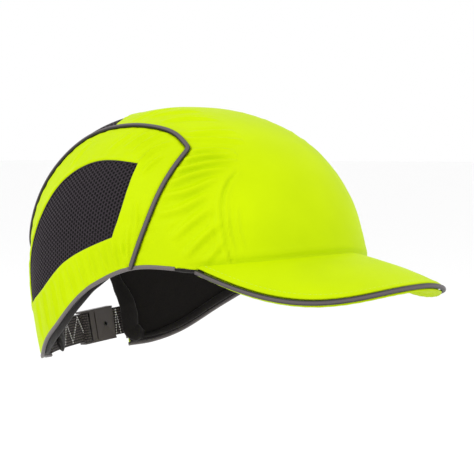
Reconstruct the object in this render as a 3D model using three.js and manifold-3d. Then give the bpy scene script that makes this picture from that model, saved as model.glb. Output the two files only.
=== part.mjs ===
// Bump cap: a fabric baseball-style cover over a hard shell with foam pads, a short stiff
// peak, mesh inserts, piping, and a webbing strap with a cam buckle across the rear arch.
//
// Millimetres.  The wearer faces -Y and +X is the wearer's left.  Everything is built in a
// level "rim frame" whose origin is the middle of the head opening, and one group then
// pitches it back, the way the cap sits on a head.

import * as THREE from 'three';
import { mergeVertices } from 'three/addons/utils/BufferGeometryUtils.js';
import Module from 'manifold-3d';

const wasm = await Module();
wasm.setup();

// ---------------------------------------------------------------- driving dimensions

const PITCH = 7.5;                 // degrees that the rear sits below the front

// Crown: a superellipse in plan whose size falls off towards the apex.
const HALF_WIDTH = 85.6;
const FRONT_REACH = 103.7;
const REAR_REACH = 104.3;
const CROWN_HEIGHT = 101.8;
const APEX_SHIFT = 8.6;            // the apex lies this far behind the middle
const PLAN_POWER = 2.08;
const FRONT_POWER = 1.9;           // profile powers: a low one slopes, a high one is boxy
const SIDE_POWER = 2.37;
const REAR_POWER = 2.65;
const RISE_POWER = 2.31;

// Layers, as depths below the outer surface of the crown fabric.
const FABRIC = [0, -1.0];
const MESH_FABRIC = [-0.1, -0.9];
const LINING = [-2.1, -3.0];
const SWEATBAND = [-1.9, -4.0];
const SHELL = [-1.5, -3.5];
const PAD = [-4.7, -9.7];
const SEAM_HALF_GAP = 0.8;         // fabric stops this far from the middle of a piped seam
const CLEAR = 0.3;

// Lower edge of the crown, as [degrees from the front, height].
const LOWER_EDGE = [
  [0, 4.5], [50, 5], [76, 10.5], [96, 0], [116, -15], [134, -29.5], [146, -34.2], [157, -35],
];
const BINDING_DROP = 2.2;          // the edge binding hangs this far below the fabric
const BINDING_SECTION = [[0.4, -1.1], [2.1, -1.1], [2.1, 0.6], [0.4, 0.6]];

// Rear arch, the gap above the strap.
const ARCH_HALF_WIDTH = 35.5;
const ARCH_SPRING = -4;            // the straight sides end here
const ARCH_TOP = 44;
const ARCH_POWER = 2.6;

// Piped seam on the left: up from the lower edge, round a corner, back and down to the arch.
const PIPING_FRONT = [[83, -26.4, 9.6], [78, -36, 32], [69, -42.8, 52], [52.5, -49, 71]];
const PIPING_TOP = [[52.5, -49, 71], [48.8, -36, 80.6], [48.4, -16, 87.4], [47, 12, 90.2]];
const PIPING_REAR = [[47, 12, 90.2], [48, 29, 87.5], [53, 50, 73], [54, 66, 56], [49, 80, 36]];
const REAR_SEAM_BACK = 24;         // middle of the seam between crown panel and rear mesh
const PIPING_SECTION = [[-0.4, -1.0], [0.4, -1.0], [0.4, 0.3], [1.6, 0.3], [1.6, 1.1], [0.9, 1.8],
  [-0.9, 1.8], [-1.6, 1.1], [-1.6, 0.3], [-0.4, 0.3]];

// Mesh window in the left side panel.
const WINDOW_FRONT = [[83, -15, 27.8], [79.6, -20, 41.5], [67.2, -24.5, 66.3]];
const WINDOW_TOP = [[67.2, -24.5, 66.3], [67, 8, 71.3], [67.6, 33, 64], [66.8, 58, 41], [58, 78, 15]];
const WINDOW_REAR = [[58, 78, 15], [58, 80, -5]];
const WINDOW_BOTTOM = [[58, 80, -5], [75.5, 51.5, 3.6], [83.5, 20.7, 18.5], [83, -15, 27.8]];

// Peak.
const PEAK_HALF_WIDTH = 71.7;
const PEAK_REACH = 93.2;
const PEAK_ROOT_Y = -58;
const PEAK_POWER = 2.37;
const PEAK_SLOPE = 0.456;
const PEAK_ARCH = 21.8;            // how far the middle of the front edge rises
const PEAK_ARCH_POWER = 2.83;
const SEAM_HEIGHT = 7.7;
const PEAK_SEAM_TURN = 55;         // degrees either side of the front that the peak spans
const PEAK_TOP = [0, -1.0];
const PEAK_BOARD = [-1.3, -3.1];
const PEAK_UNDER = [-3.9, -4.7];
const PEAK_BULGE = 1.6;

// Hard shell and pads.
const SHELL_EDGE = 33;
const SHELL_REAR_EDGE = 54;
const VENT_RADIUS = 4.2;
const VENTS = [[-80, 52], [-104, 50], [80, 52], [104, 50], [-66, 82], [66, 82], [-118, 82], [118, 82]];

// Strap and buckle.
const STRAP_RADIUS = 71;           // curve of the strap in plan
const STRAP_BACK = 99.2;           // how far back its middle lies
const STRAP_Z = -20.5;
const STRAP_TILT = 5;              // degrees that its right end hangs lower than its left
const STRAP_PIVOT_X = 17;
const STRAP_HEIGHT = 17.4;
const STRAP_THICK = 1.4;
const STRAP_REACH = 39;            // both ends tuck behind the side panels, this far out
const TAB_TIP = 24;
const LEFT_TAB_TIP = 33;
const BUCKLE_X = 14;
const RAIL_HALF = 10.3;
const RAIL_THICK = 1.2;
const LOOP_BAR = { x: -10.9, y: -1.1, r: 1.4 };
const PIN = { x: 8.4, y: 1.7, r: 0.6 };
const HUB_RADIUS = 1.25;
const EYELET = { x: 3.4, r: 0.9 };   // round hole in the buckle's inner plate

const COLOURS = {
  yellow: [0xd2f000, 0.7, 0], mesh: [0x2b272a, 0.9, 0], grey: [0x6e6566, 0.6, 0],
  black: [0x1c1816, 0.9, 0], shell: [0x202022, 0.45, 0], foam: [0x242326, 0.95, 0],
  board: [0xd8d8d4, 0.5, 0], plastic: [0x26211f, 0.4, 0], steel: [0xb4b6b8, 0.3, 1],
};

// ---------------------------------------------------------------- the crown surface

const rad = THREE.MathUtils.degToRad;

function signedPower(value, power) {
  return Math.sign(value) * Math.abs(value) ** power;
}

// The radius factor of the crown at a height, for a share of side against front or rear.
function planSize(height, sideShare, forward) {
  const rise = Math.min(1, (Math.abs(height) / CROWN_HEIGHT) ** (RISE_POWER / 2));
  const endPower = forward ? FRONT_POWER : REAR_POWER;
  const power = SIDE_POWER * sideShare + endPower * (1 - sideShare);
  return Math.sqrt(1 - rise * rise) ** (2 / power);
}

// A point of the crown at a turn from the front (degrees, positive to the left) and a height.
function crownAt(turn, height) {
  const s = Math.sin(rad(turn));
  const c = Math.cos(rad(turn));
  const size = planSize(height, s * s, c > 0);
  const reach = c > 0 ? FRONT_REACH : REAR_REACH;
  const x = HALF_WIDTH * size * signedPower(s, 2 / PLAN_POWER);
  const y = -reach * size * signedPower(c, 2 / PLAN_POWER) + APEX_SHIFT * (1 - size);
  return new THREE.Vector3(x, y, height);
}

// Below zero inside the crown, above zero outside.
function excess(x, y, z) {
  if (Math.abs(z) >= CROWN_HEIGHT) return 1;
  let size = 1;
  let radius = 0;
  for (let pass = 0; pass < 5; pass += 1) {
    const depth = y - APEX_SHIFT * (1 - size);
    const across = (Math.abs(x) / HALF_WIDTH) ** PLAN_POWER;
    const along = (Math.abs(depth) / (depth < 0 ? FRONT_REACH : REAR_REACH)) ** PLAN_POWER;
    radius = (across + along) ** (1 / PLAN_POWER);
    size = planSize(z, across / (across + along + 1e-12), depth < 0);
  }
  return radius - size;
}

// The point of the crown in the direction of p from the middle of the head opening.
function snap(p) {
  const way = p.clone().normalize();
  let inside = 0;
  let outside = 180;
  for (let step = 0; step < 30; step += 1) {
    const middle = (inside + outside) / 2;
    const isIn = excess(way.x * middle, way.y * middle, way.z * middle) < 0;
    if (isIn) inside = middle;
    else outside = middle;
  }
  return way.multiplyScalar(inside);
}

function normalAt(p) {
  const way = p.clone().normalize();
  const side = new THREE.Vector3(0, 0, 1).cross(way);
  if (side.length() < 0.01) side.set(1, 0, 0);
  side.normalize();
  const up = way.clone().cross(side);
  const nudge = 0.02;
  const near = (direction, amount) => snap(way.clone().addScaledVector(direction, amount));
  const a = near(side, nudge).sub(near(side, -nudge));
  const b = near(up, nudge).sub(near(up, -nudge));
  return a.cross(b).normalize();
}

// ---------------------------------------------------------------- curves on the crown

function points(list) {
  return list.map(([x, y, z]) => new THREE.Vector3(x, y, z));
}

// A smooth run of count steps through a few points, laid on the crown.
function run(list, count) {
  const curve = new THREE.CatmullRomCurve3(list, false, 'centripetal');
  return curve.getSpacedPoints(count).map(snap);
}

function mirrored(line) {
  return line.map((p) => new THREE.Vector3(-p.x, p.y, p.z));
}

// The line moved sideways along the surface, to the right of its direction seen from outside.
function shifted(line, distance) {
  return line.map((p, i) => {
    const ahead = line[Math.min(i + 1, line.length - 1)];
    const behind = line[Math.max(i - 1, 0)];
    const side = ahead.clone().sub(behind).cross(normalAt(p)).normalize();
    return snap(p.clone().addScaledVector(side, distance));
  });
}

const EDGE_CURVE = new THREE.CatmullRomCurve3(
  LOWER_EDGE.map(([turn, height]) => new THREE.Vector3(turn, height, 0)), false, 'centripetal');

// Height of the lower edge at a turn, by bisection along its curve.
function edgeHeight(turn) {
  const wanted = Math.abs(turn);
  let low = 0;
  let high = 1;
  for (let step = 0; step < 24; step += 1) {
    const middle = (low + high) / 2;
    if (EDGE_CURVE.getPoint(middle).x < wanted) low = middle;
    else high = middle;
  }
  return EDGE_CURVE.getPoint(low).y;
}

// The lower edge from one turn to another, lifted above the binding by lift.
function lowerEdge(from, to, count, lift) {
  const line = [];
  for (let i = 0; i <= count; i += 1) {
    const turn = THREE.MathUtils.lerp(from, to, i / count);
    line.push(crownAt(turn, edgeHeight(turn) + lift));
  }
  return line;
}

// A point on the left side of the arch: 0 at its lower corner, 1 at the top in the middle.
function archPoint(share, foot) {
  const straight = 0.28;
  if (share < straight) {
    const z = THREE.MathUtils.lerp(foot, ARCH_SPRING, share / straight);
    return snap(new THREE.Vector3(ARCH_HALF_WIDTH, 95, z));
  }
  const turn = ((share - straight) / (1 - straight)) * Math.PI / 2;
  const x = ARCH_HALF_WIDTH * Math.cos(turn) ** (2 / ARCH_POWER);
  const z = ARCH_SPRING + (ARCH_TOP - ARCH_SPRING) * Math.sin(turn) ** (2 / ARCH_POWER);
  return snap(new THREE.Vector3(x, 100, z));
}

const ARCH_FOOT = -32;
const ARCH_JOINT = 0.5;            // share of the arch at which the piping meets it

function archLine(from, to, count) {
  const line = [];
  for (let i = 0; i <= count; i += 1) {
    line.push(archPoint(THREE.MathUtils.lerp(from, to, i / count), ARCH_FOOT));
  }
  return line;
}

// ---------------------------------------------------------------- closed bodies

// A body from loose triangles: welded, without slivers, and facing outward.
function solid(vertices, triangles) {
  const flat = new THREE.BufferGeometry();
  const numbers = vertices.flatMap((v) => [v.x, v.y, v.z]);
  flat.setAttribute('position', new THREE.Float32BufferAttribute(numbers, 3));
  flat.setIndex(triangles.flat());
  const welded = mergeVertices(flat, 1e-3);
  const old = Array.from(welded.index.array);
  const kept = [];
  let volume = 0;
  const p = (i) => new THREE.Vector3().fromBufferAttribute(welded.attributes.position, i);
  for (let i = 0; i < old.length; i += 3) {
    const [a, b, c] = old.slice(i, i + 3);
    if (a !== b && b !== c && c !== a) {
      kept.push([a, b, c]);
      volume += p(a).dot(p(b).cross(p(c)));
    }
  }
  const faced = volume < 0 ? kept.map(([a, b, c]) => [a, c, b]) : kept;
  welded.setIndex(faced.flat());
  welded.computeVertexNormals();
  return welded;
}

// A slab between two matching grids of points.  A ring closes on itself along each row.
function slab(top, bottom, ring) {
  const rows = top.length;
  const columns = top[0].length;
  const vertices = [...top.flat(), ...bottom.flat()];
  const triangles = [];
  const at = (layer, i, j) => layer * rows * columns + i * columns + (j % columns);
  const quad = (a, b, c, d) => triangles.push([a, b, c], [a, c, d]);
  const last = ring ? columns : columns - 1;
  for (let i = 0; i < rows - 1; i += 1) {
    for (let j = 0; j < last; j += 1) {
      quad(at(0, i, j), at(0, i, j + 1), at(0, i + 1, j + 1), at(0, i + 1, j));
      quad(at(1, i, j), at(1, i + 1, j), at(1, i + 1, j + 1), at(1, i, j + 1));
    }
    if (!ring) {
      quad(at(0, i, 0), at(0, i + 1, 0), at(1, i + 1, 0), at(1, i, 0));
      quad(at(0, i + 1, last), at(0, i, last), at(1, i, last), at(1, i + 1, last));
    }
  }
  for (let j = 0; j < last; j += 1) {
    quad(at(0, 0, j + 1), at(0, 0, j), at(1, 0, j), at(1, 0, j + 1));
    quad(at(0, rows - 1, j), at(0, rows - 1, j + 1), at(1, rows - 1, j + 1), at(1, rows - 1, j));
  }
  return solid(vertices, triangles);
}

// A slab that follows the crown between two depths.
function skin(grid, [outer, inner], ring = false) {
  const lift = (depth) => grid.map((row) => row.map((p) => {
    const base = snap(p);
    return base.addScaledVector(normalAt(base), depth);
  }));
  return slab(lift(outer), lift(inner), ring);
}

// A grid spanned by four border lines: bottom and top run one way, left and right the other.
function spanned(bottom, top, left, right) {
  const rows = left.length;
  const columns = bottom.length;
  const grid = [];
  for (let i = 0; i < rows; i += 1) {
    const v = i / (rows - 1);
    const row = [];
    for (let j = 0; j < columns; j += 1) {
      const u = j / (columns - 1);
      const p = new THREE.Vector3();
      p.addScaledVector(bottom[j], 1 - v).addScaledVector(top[j], v);
      p.addScaledVector(left[i], 1 - u).addScaledVector(right[i], u);
      p.addScaledVector(bottom[0], -(1 - u) * (1 - v)).addScaledVector(bottom[columns - 1], -u * (1 - v));
      p.addScaledVector(top[0], -(1 - u) * v).addScaledVector(top[columns - 1], -u * v);
      row.push(p);
    }
    grid.push(row);
  }
  return grid;
}

// Rows from one line to another with the same number of points.
function between(first, second, rows) {
  const grid = [];
  for (let i = 0; i <= rows; i += 1) {
    grid.push(first.map((p, j) => p.clone().lerp(second[j], i / rows)));
  }
  return grid;
}

// A bar of constant section along a line.  Section points are [across, out].
function bar(line, profile, outwardAt) {
  const isBackward = THREE.ShapeUtils.isClockWise(profile.map(([a, o]) => new THREE.Vector2(a, o)));
  const section = isBackward ? profile.slice().reverse() : profile;
  const rings = line.map((p, i) => {
    const ahead = line[Math.min(i + 1, line.length - 1)];
    const behind = line[Math.max(i - 1, 0)];
    const outward = outwardAt(p);
    const side = ahead.clone().sub(behind).cross(outward).normalize();
    const out = side.clone().cross(ahead.clone().sub(behind)).normalize();
    return section.map(([a, o]) => p.clone().addScaledVector(side, a).addScaledVector(out, o));
  });
  const count = section.length;
  const triangles = [];
  for (let i = 0; i < rings.length - 1; i += 1) {
    for (let j = 0; j < count; j += 1) {
      const k = (j + 1) % count;
      const a = i * count;
      const b = a + count;
      triangles.push([a + j, a + k, b + k], [a + j, b + k, b + j]);
    }
  }
  const outline = section.map(([a, o]) => new THREE.Vector2(a, o));
  const end = (rings.length - 1) * count;
  for (const [a, b, c] of THREE.ShapeUtils.triangulateShape(outline, [])) {
    triangles.push([a, c, b], [end + a, end + b, end + c]);
  }
  return solid(rings.flat(), triangles);
}

function toManifold(geometry) {
  const bare = geometry.clone();
  bare.deleteAttribute('normal');
  bare.deleteAttribute('uv');
  const welded = mergeVertices(bare, 1e-4);
  const vertProperties = new Float32Array(welded.attributes.position.array);
  const triVerts = new Uint32Array(welded.index.array);
  return new wasm.Manifold(new wasm.Mesh({ numProp: 3, vertProperties, triVerts }));
}

function fromManifold(manifold) {
  const mesh = manifold.getMesh();
  const geometry = new THREE.BufferGeometry();
  geometry.setAttribute('position', new THREE.BufferAttribute(new Float32Array(mesh.vertProperties), 3));
  geometry.setIndex(Array.from(mesh.triVerts));
  geometry.computeVertexNormals();
  return geometry;
}

function joined(parts) {
  return parts.map(toManifold).reduce((sum, part) => sum.add(part));
}

// ---------------------------------------------------------------- scene helpers

const cap = new THREE.Group();
const tilted = new THREE.Group();
tilted.rotation.x = -rad(PITCH);
cap.add(tilted);

function add(name, geometry, colour, group = tilted) {
  const [color, roughness, metalness] = COLOURS[colour];
  const mesh = new THREE.Mesh(geometry, new THREE.MeshStandardMaterial({ color, roughness, metalness }));
  mesh.name = name;
  group.add(mesh);
}

// Adds a left piece and its mirror image.
function addPair(name, build, colour) {
  add(`${name}_left`, build((line) => line), colour);
  add(`${name}_right`, build(mirrored), colour);
}

// ---------------------------------------------------------------- crown panels

const pipingFront = run(points(PIPING_FRONT), 7);
const pipingTop = run(points(PIPING_TOP), 6);
const archJoint = archPoint(ARCH_JOINT, ARCH_FOOT);
const pipingRear = run([...points(PIPING_REAR), archJoint], 9);
const SEAM_FOOT_TURN = 76;

function pipedEdge(lines, distance) {
  return shifted(lines.flatMap((line, i) => (i ? line.slice(1) : line)), distance);
}

const ACROSS = 18;

function frontPanel() {
  const left = pipedEdge([pipingFront, pipingTop], -SEAM_HALF_GAP);
  const right = mirrored(left);
  const bottom = lowerEdge(-SEAM_FOOT_TURN + 0.6, SEAM_FOOT_TURN - 0.6, ACROSS, CLEAR);
  const end = left[left.length - 1];
  const seam = run([mirrored([end])[0], new THREE.Vector3(0, REAR_SEAM_BACK - 0.4, 104), end], ACROSS);
  left[0] = bottom[ACROSS];
  right[0] = bottom[0];
  return skin(spanned(bottom, seam, right, left), FABRIC);
}

function rearPanel() {
  const left = pipedEdge([pipingRear], -SEAM_HALF_GAP);
  const right = mirrored(left);
  const start = left[0];
  const seam = run([mirrored([start])[0], new THREE.Vector3(0, REAR_SEAM_BACK + 0.4, 104), start], 12);
  seam.forEach((p) => p.setY(p.y + 0.5));
  const half = shifted(archLine(ARCH_JOINT + 0.05, 1, 6), -BINDING_DROP);
  const bottom = [...mirrored(half), ...half.slice(0, -1).reverse()];
  left[left.length - 1] = bottom[bottom.length - 1];
  right[right.length - 1] = bottom[0];
  left[0] = seam[12];
  right[0] = seam[0];
  return skin(spanned(seam, bottom, right, left), MESH_FABRIC);
}

function sideOutline() {
  const corner = 157;
  const front = shifted(pipingFront, SEAM_HALF_GAP);
  const top = shifted([...pipingTop.slice(0, -1), ...pipingRear], SEAM_HALF_GAP);
  const rear = shifted(archLine(ARCH_JOINT - 0.07, 0, 5), BINDING_DROP);
  const bottom = lowerEdge(corner, SEAM_FOOT_TURN + 0.6, 10, CLEAR);
  top[0] = front[front.length - 1];
  top[top.length - 1] = rear[0];
  bottom[0] = rear[rear.length - 1];
  front[0] = bottom[bottom.length - 1];
  return [front, top, rear, bottom].flatMap((line) => line.slice(0, -1));
}

function windowOutline(inset) {
  const sides = [[WINDOW_FRONT, 7], [WINDOW_TOP, 15], [WINDOW_REAR, 5], [WINDOW_BOTTOM, 10]];
  const loop = sides.flatMap(([list, count]) => run(points(list), count).slice(0, -1));
  const middle = loop.reduce((sum, p) => sum.add(p), new THREE.Vector3()).divideScalar(loop.length);
  return loop.map((p) => {
    const inward = middle.clone().sub(p).normalize();
    return snap(p.clone().addScaledVector(inward, inset));
  });
}

function sidePanel(place) {
  return skin(between(place(sideOutline()), place(windowOutline(0)), 3), FABRIC, true);
}

function meshInsert(place) {
  const rim = windowOutline(0.5);
  const middle = rim.reduce((sum, p) => sum.add(p), new THREE.Vector3()).divideScalar(rim.length);
  const centre = rim.map(() => middle);
  return skin(between(place(rim), place(centre), 3), MESH_FABRIC, true);
}

add('front_crown_panel', frontPanel(), 'yellow');
addPair('side_panel', sidePanel, 'yellow');
addPair('mesh_insert', meshInsert, 'mesh');
add('rear_mesh_panel', rearPanel(), 'mesh');

// ---------------------------------------------------------------- piping and binding

function pipingPiece(place) {
  const line = [...pipingFront, ...pipingTop.slice(1), ...pipingRear.slice(1)];
  const trimmed = line.slice(0, -1);
  trimmed.push(line[line.length - 2].clone().lerp(line[line.length - 1], 0.3));
  trimmed[0] = line[0].clone().lerp(line[1], 0.3);
  return bar(place(trimmed.map(snap)), PIPING_SECTION, normalAt);
}

function lowerBinding(place) {
  const line = lowerEdge(PEAK_SEAM_TURN + 3.5, 154.5, 18, CLEAR);
  const side = place === mirrored ? -1 : 1;
  const section = BINDING_SECTION.map(([across, out]) => [side * across, out]);
  return bar(place(line), section, normalAt);
}

function archBinding() {
  const half = archLine(0.02, 1, 12);
  const line = [...half, ...mirrored(half).reverse().slice(1)];
  return bar(line, [[-1.7, -1.1], [1.7, -1.1], [1.7, 0.6], [-1.7, 0.6]], normalAt);
}

addPair('panel_piping', pipingPiece, 'grey');
addPair('lower_binding', lowerBinding, 'grey');
add('arch_binding', archBinding(), 'grey');

// ---------------------------------------------------------------- peak

// Edge of the peak: share runs from -1 at the right end to 1 at the left end.
function peakEdge(share) {
  const turn = share * Math.PI / 2;
  const forward = PEAK_REACH * Math.cos(turn) ** (2 / PEAK_POWER);
  const x = PEAK_HALF_WIDTH * signedPower(Math.sin(turn), 2 / PEAK_POWER);
  const arch = PEAK_ARCH * Math.cos(turn) ** PEAK_ARCH_POWER;
  return new THREE.Vector3(x, PEAK_ROOT_Y - forward, SEAM_HEIGHT - PEAK_SLOPE * forward + arch);
}

// Root of the peak, just outside the crown.
function peakRoot(share) {
  const p = crownAt(share * PEAK_SEAM_TURN, SEAM_HEIGHT);
  const out = normalAt(p).setZ(0).normalize();
  return p.addScaledVector(out, CLEAR + 0.4);
}

const PEAK_SPAN = 0.955;           // the ends stop short of the corner, where the edge meets the crown
const INNER_SPAN = 0.91;

// How far along the line from root to edge a layer may go, to end inset short of the edge.
function peakReachShare(share, inset) {
  const along = peakEdge(share + 0.01).sub(peakEdge(share - 0.01)).setZ(0).normalize();
  const line = peakEdge(share).sub(peakRoot(share)).setZ(0);
  const square = Math.abs(along.x * line.y - along.y * line.x);
  return Math.max(0.2, 1 - inset / square);
}

// A slab of the peak between two depths, stopping inset short of its front edge.
function peakSlab([upper, lower], inset, span, rows = 4, columns = 22) {
  const grid = [];
  for (let i = 0; i <= rows; i += 1) {
    const row = [];
    for (let j = 0; j <= columns; j += 1) {
      const share = span * (2 * (j / columns) - 1);
      const root = peakRoot(share);
      const edge = peakEdge(share);
      const length = edge.distanceTo(root);
      const v = (i / rows) * peakReachShare(share, inset);
      const p = root.lerp(edge, v);
      p.z += PEAK_BULGE * Math.sin(Math.PI * v) * Math.min(1, length / 45);
      row.push(p);
    }
    grid.push(row);
  }
  const drop = (depth) => grid.map((row) => row.map((p) => p.clone().setZ(p.z + depth)));
  return slab(drop(upper), drop(lower), false);
}

function peakPiping() {
  const line = [];
  for (let j = 0; j <= 30; j += 1) line.push(peakEdge(PEAK_SPAN * (2 * (j / 30) - 1)));
  const section = [
    [-0.7, 0.2], [-1.2, -0.5], [-1.2, -1.7], [-0.7, -2.3], [0.6, -2.3], [1.2, -1.3], [0.6, 0.2],
  ];
  return bar(line, section, () => new THREE.Vector3(0, 0, 1));
}

add('peak_top_cover', peakSlab(PEAK_TOP, 2.2, INNER_SPAN), 'yellow');
add('peak_board', peakSlab(PEAK_BOARD, 2.6, INNER_SPAN), 'board');
add('peak_under_cover', peakSlab(PEAK_UNDER, 0, PEAK_SPAN), 'yellow');
add('peak_piping', peakPiping(), 'grey');

// ---------------------------------------------------------------- shell, pads and lining

function shellEdge(turn) {
  const rear = Math.max(0, -Math.cos(rad(turn)) - 0.6) / 0.4;
  return SHELL_EDGE + (SHELL_REAR_EDGE - SHELL_EDGE) * Math.min(1, rear * 1.6);
}

// Rings from an outline towards one middle point.
function domed(outline, middle, rows) {
  const grid = [];
  for (let i = 0; i <= rows; i += 1) {
    grid.push(outline.map((p) => {
      const a = p.clone().normalize();
      const b = middle.clone().normalize();
      const angle = a.angleTo(b);
      const v = i / rows;
      const first = Math.sin((1 - v) * angle) / Math.sin(angle);
      const second = Math.sin(v * angle) / Math.sin(angle);
      return a.multiplyScalar(first).addScaledVector(b, second);
    }));
  }
  return grid;
}

function ringLine(count, heightAt) {
  const line = [];
  for (let j = 0; j < count; j += 1) {
    const turn = (360 * j) / count - 180;
    line.push(crownAt(turn, heightAt(turn)));
  }
  return line;
}

function hardShell() {
  const dome = skin(domed(ringLine(36, shellEdge), new THREE.Vector3(0, 4, 100), 8), SHELL, true);
  let body = toManifold(dome);
  for (const [turn, height] of VENTS) {
    const p = crownAt(turn, height);
    const out = normalAt(p);
    const drill = new THREE.CylinderGeometry(VENT_RADIUS, VENT_RADIUS, 16, 12);
    drill.applyQuaternion(new THREE.Quaternion().setFromUnitVectors(new THREE.Vector3(0, 1, 0), out));
    drill.translate(p.x, p.y, p.z);
    body = body.subtract(toManifold(drill));
  }
  return fromManifold(body);
}

// A patch of the crown between two turns and two heights, or heights given as functions.
function patch(turns, heights, depth, columns, rows) {
  const at = (height, turn) => (typeof height === 'function' ? height(turn) : height);
  const grid = [];
  for (let i = 0; i <= rows; i += 1) {
    const row = [];
    for (let j = 0; j <= columns; j += 1) {
      const turn = THREE.MathUtils.lerp(turns[0], turns[1], j / columns);
      row.push(crownAt(turn, THREE.MathUtils.lerp(at(heights[0], turn), at(heights[1], turn), i / rows)));
    }
    grid.push(row);
  }
  return skin(grid, depth);
}

function crownPad() {
  const outline = [];
  for (let j = 0; j < 20; j += 1) {
    const turn = (2 * Math.PI * j) / 20;
    outline.push(new THREE.Vector3(30 * Math.cos(turn), 8 + 36 * Math.sin(turn), 95));
  }
  return skin(domed(outline, new THREE.Vector3(0, 8, 100), 3), PAD, true);
}

const LINING_TOP = 26;
const aboveEdge = (turn) => edgeHeight(turn) + 1.2;

add('hard_shell', hardShell(), 'shell');
add('crown_pad', crownPad(), 'foam');
add('front_pad', patch([-30, 30], [38, 66], PAD, 8, 4), 'foam');
add('side_pad_left', patch([62, 112], [38, 62], PAD, 6, 3), 'foam');
add('side_pad_right', patch([-112, -62], [38, 62], PAD, 6, 3), 'foam');
add('rear_pad', patch([160, 200], [60, 80], PAD, 5, 3), 'foam');
add('sweatband', patch([-58, 58], [aboveEdge, LINING_TOP], SWEATBAND, 20, 3), 'black');
add('side_lining_left', patch([59, 150], [aboveEdge, LINING_TOP], LINING, 18, 4), 'black');
add('side_lining_right', patch([-150, -59], [aboveEdge, LINING_TOP], LINING, 18, 4), 'black');

// ---------------------------------------------------------------- strap

const STRAP_CENTRE_Y = STRAP_BACK - STRAP_RADIUS;

// A band of webbing along the strap's curve, between two places across the back.
function webbing(fromX, toX, low, high, steps, height = STRAP_HEIGHT) {
  const angle = (x) => Math.asin(x / STRAP_RADIUS);
  const shape = (radius) => {
    const line = [];
    for (let i = 0; i <= steps; i += 1) {
      const turn = THREE.MathUtils.lerp(angle(fromX), angle(toX), i / steps);
      line.push(new THREE.Vector2(radius * Math.sin(turn), STRAP_CENTRE_Y + radius * Math.cos(turn)));
    }
    return line;
  };
  const outline = [...shape(STRAP_RADIUS + low), ...shape(STRAP_RADIUS + high).reverse()];
  const band = new THREE.ExtrudeGeometry(new THREE.Shape(outline), { depth: height, bevelEnabled: false });
  band.translate(0, 0, -height / 2);
  return band;
}

function tidy(geometry) {
  const bare = geometry.clone();
  bare.deleteAttribute('normal');
  bare.deleteAttribute('uv');
  return mergeVertices(bare, 1e-4);
}

// The strap hangs a little lower on the right, so it has a turned group of its own.
const strapTurn = new THREE.Group();
strapTurn.position.set(STRAP_PIVOT_X, 0, STRAP_Z);
strapTurn.rotation.y = -rad(STRAP_TILT);
tilted.add(strapTurn);
const strap = new THREE.Group();
strap.position.x = -STRAP_PIVOT_X;
strapTurn.add(strap);

const buckle = new THREE.Group();
const buckleTurn = Math.asin(BUCKLE_X / STRAP_RADIUS);
buckle.position.set(BUCKLE_X, STRAP_CENTRE_Y + STRAP_RADIUS * Math.cos(buckleTurn), 0);
buckle.rotation.z = -buckleTurn;
strap.add(buckle);

function box(x0, x1, y0, y1, z0, z1) {
  const geometry = new THREE.BoxGeometry(x1 - x0, y1 - y0, z1 - z0);
  geometry.translate((x0 + x1) / 2, (y0 + y1) / 2, (z0 + z1) / 2);
  return geometry;
}

function upright(x, y, radius, halfLength, sides = 14) {
  const rod = new THREE.CylinderGeometry(radius, radius, 2 * halfLength, sides);
  rod.rotateX(Math.PI / 2);
  rod.translate(x, y, 0);
  return rod;
}

// The near webbing: a band whose end wraps round the buckle's loop bar.
function anchorStrap() {
  const loopAngle = buckleTurn + Math.asin(LOOP_BAR.x / STRAP_RADIUS);
  const half = STRAP_THICK / 2;
  const band = toManifold(tidy(webbing(-STRAP_REACH, STRAP_RADIUS * Math.sin(loopAngle), -half, half, 8)));
  const ring = upright(0, 0, LOOP_BAR.r + CLEAR + 1.2, STRAP_HEIGHT / 2, 18);
  const hole = upright(0, 0, LOOP_BAR.r + CLEAR, STRAP_HEIGHT, 14);
  const place = (geometry) => {
    geometry.translate(LOOP_BAR.x, LOOP_BAR.y, 0);
    geometry.rotateZ(-buckleTurn);
    geometry.translate(buckle.position.x, buckle.position.y, 0);
    return toManifold(geometry);
  };
  return fromManifold(band.add(place(ring)).subtract(place(hole)));
}

function buckleFrame() {
  const rail = (z0, z1) => box(-13.6, 10, -3, 3.2, z0, z1);
  const parts = [
    rail(RAIL_HALF - RAIL_THICK, RAIL_HALF),
    rail(-RAIL_HALF, -RAIL_HALF + RAIL_THICK),
    upright(LOOP_BAR.x, LOOP_BAR.y, LOOP_BAR.r, RAIL_HALF - 0.2),
    box(-7.4, -5.8, 0.9, 3.0, -RAIL_HALF + 0.2, RAIL_HALF - 0.2),
    box(-7.6, -4.2, -3, -2.2, -RAIL_HALF + 0.2, RAIL_HALF - 0.2),
    box(-3.6, 9.7, -3, -2.2, -RAIL_HALF + 0.2, RAIL_HALF - 0.2),
  ];
  const pinHole = toManifold(upright(PIN.x, PIN.y, PIN.r + CLEAR, RAIL_HALF + 2));
  const eyelet = new THREE.CylinderGeometry(EYELET.r, EYELET.r, 3, 16);
  eyelet.translate(EYELET.x, -2.6, 0);
  return fromManifold(joined(parts).subtract(pinHole).subtract(toManifold(eyelet)));
}

function buckleCam() {
  const half = RAIL_HALF - RAIL_THICK - 0.4;
  const plate = box(-5.2, PIN.x + 0.4, 1.3, 3.0, -half, half);
  const hub = upright(PIN.x, PIN.y, HUB_RADIUS, half, 16);
  const bore = toManifold(upright(PIN.x, PIN.y, PIN.r + CLEAR, half + 2));
  const dimple = new THREE.CylinderGeometry(1.1, 1.1, 1.6, 14);
  dimple.translate(-2.6, 3.0, 0);
  return fromManifold(joined([plate, hub]).subtract(bore).subtract(toManifold(dimple)));
}

// A patch that is sewn over the outer face of a strap end.
function endTab(fromX, toX, steps) {
  const low = STRAP_THICK / 2 + CLEAR;
  return tidy(webbing(fromX, toX, low, low + 1, steps, STRAP_HEIGHT));
}

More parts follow.
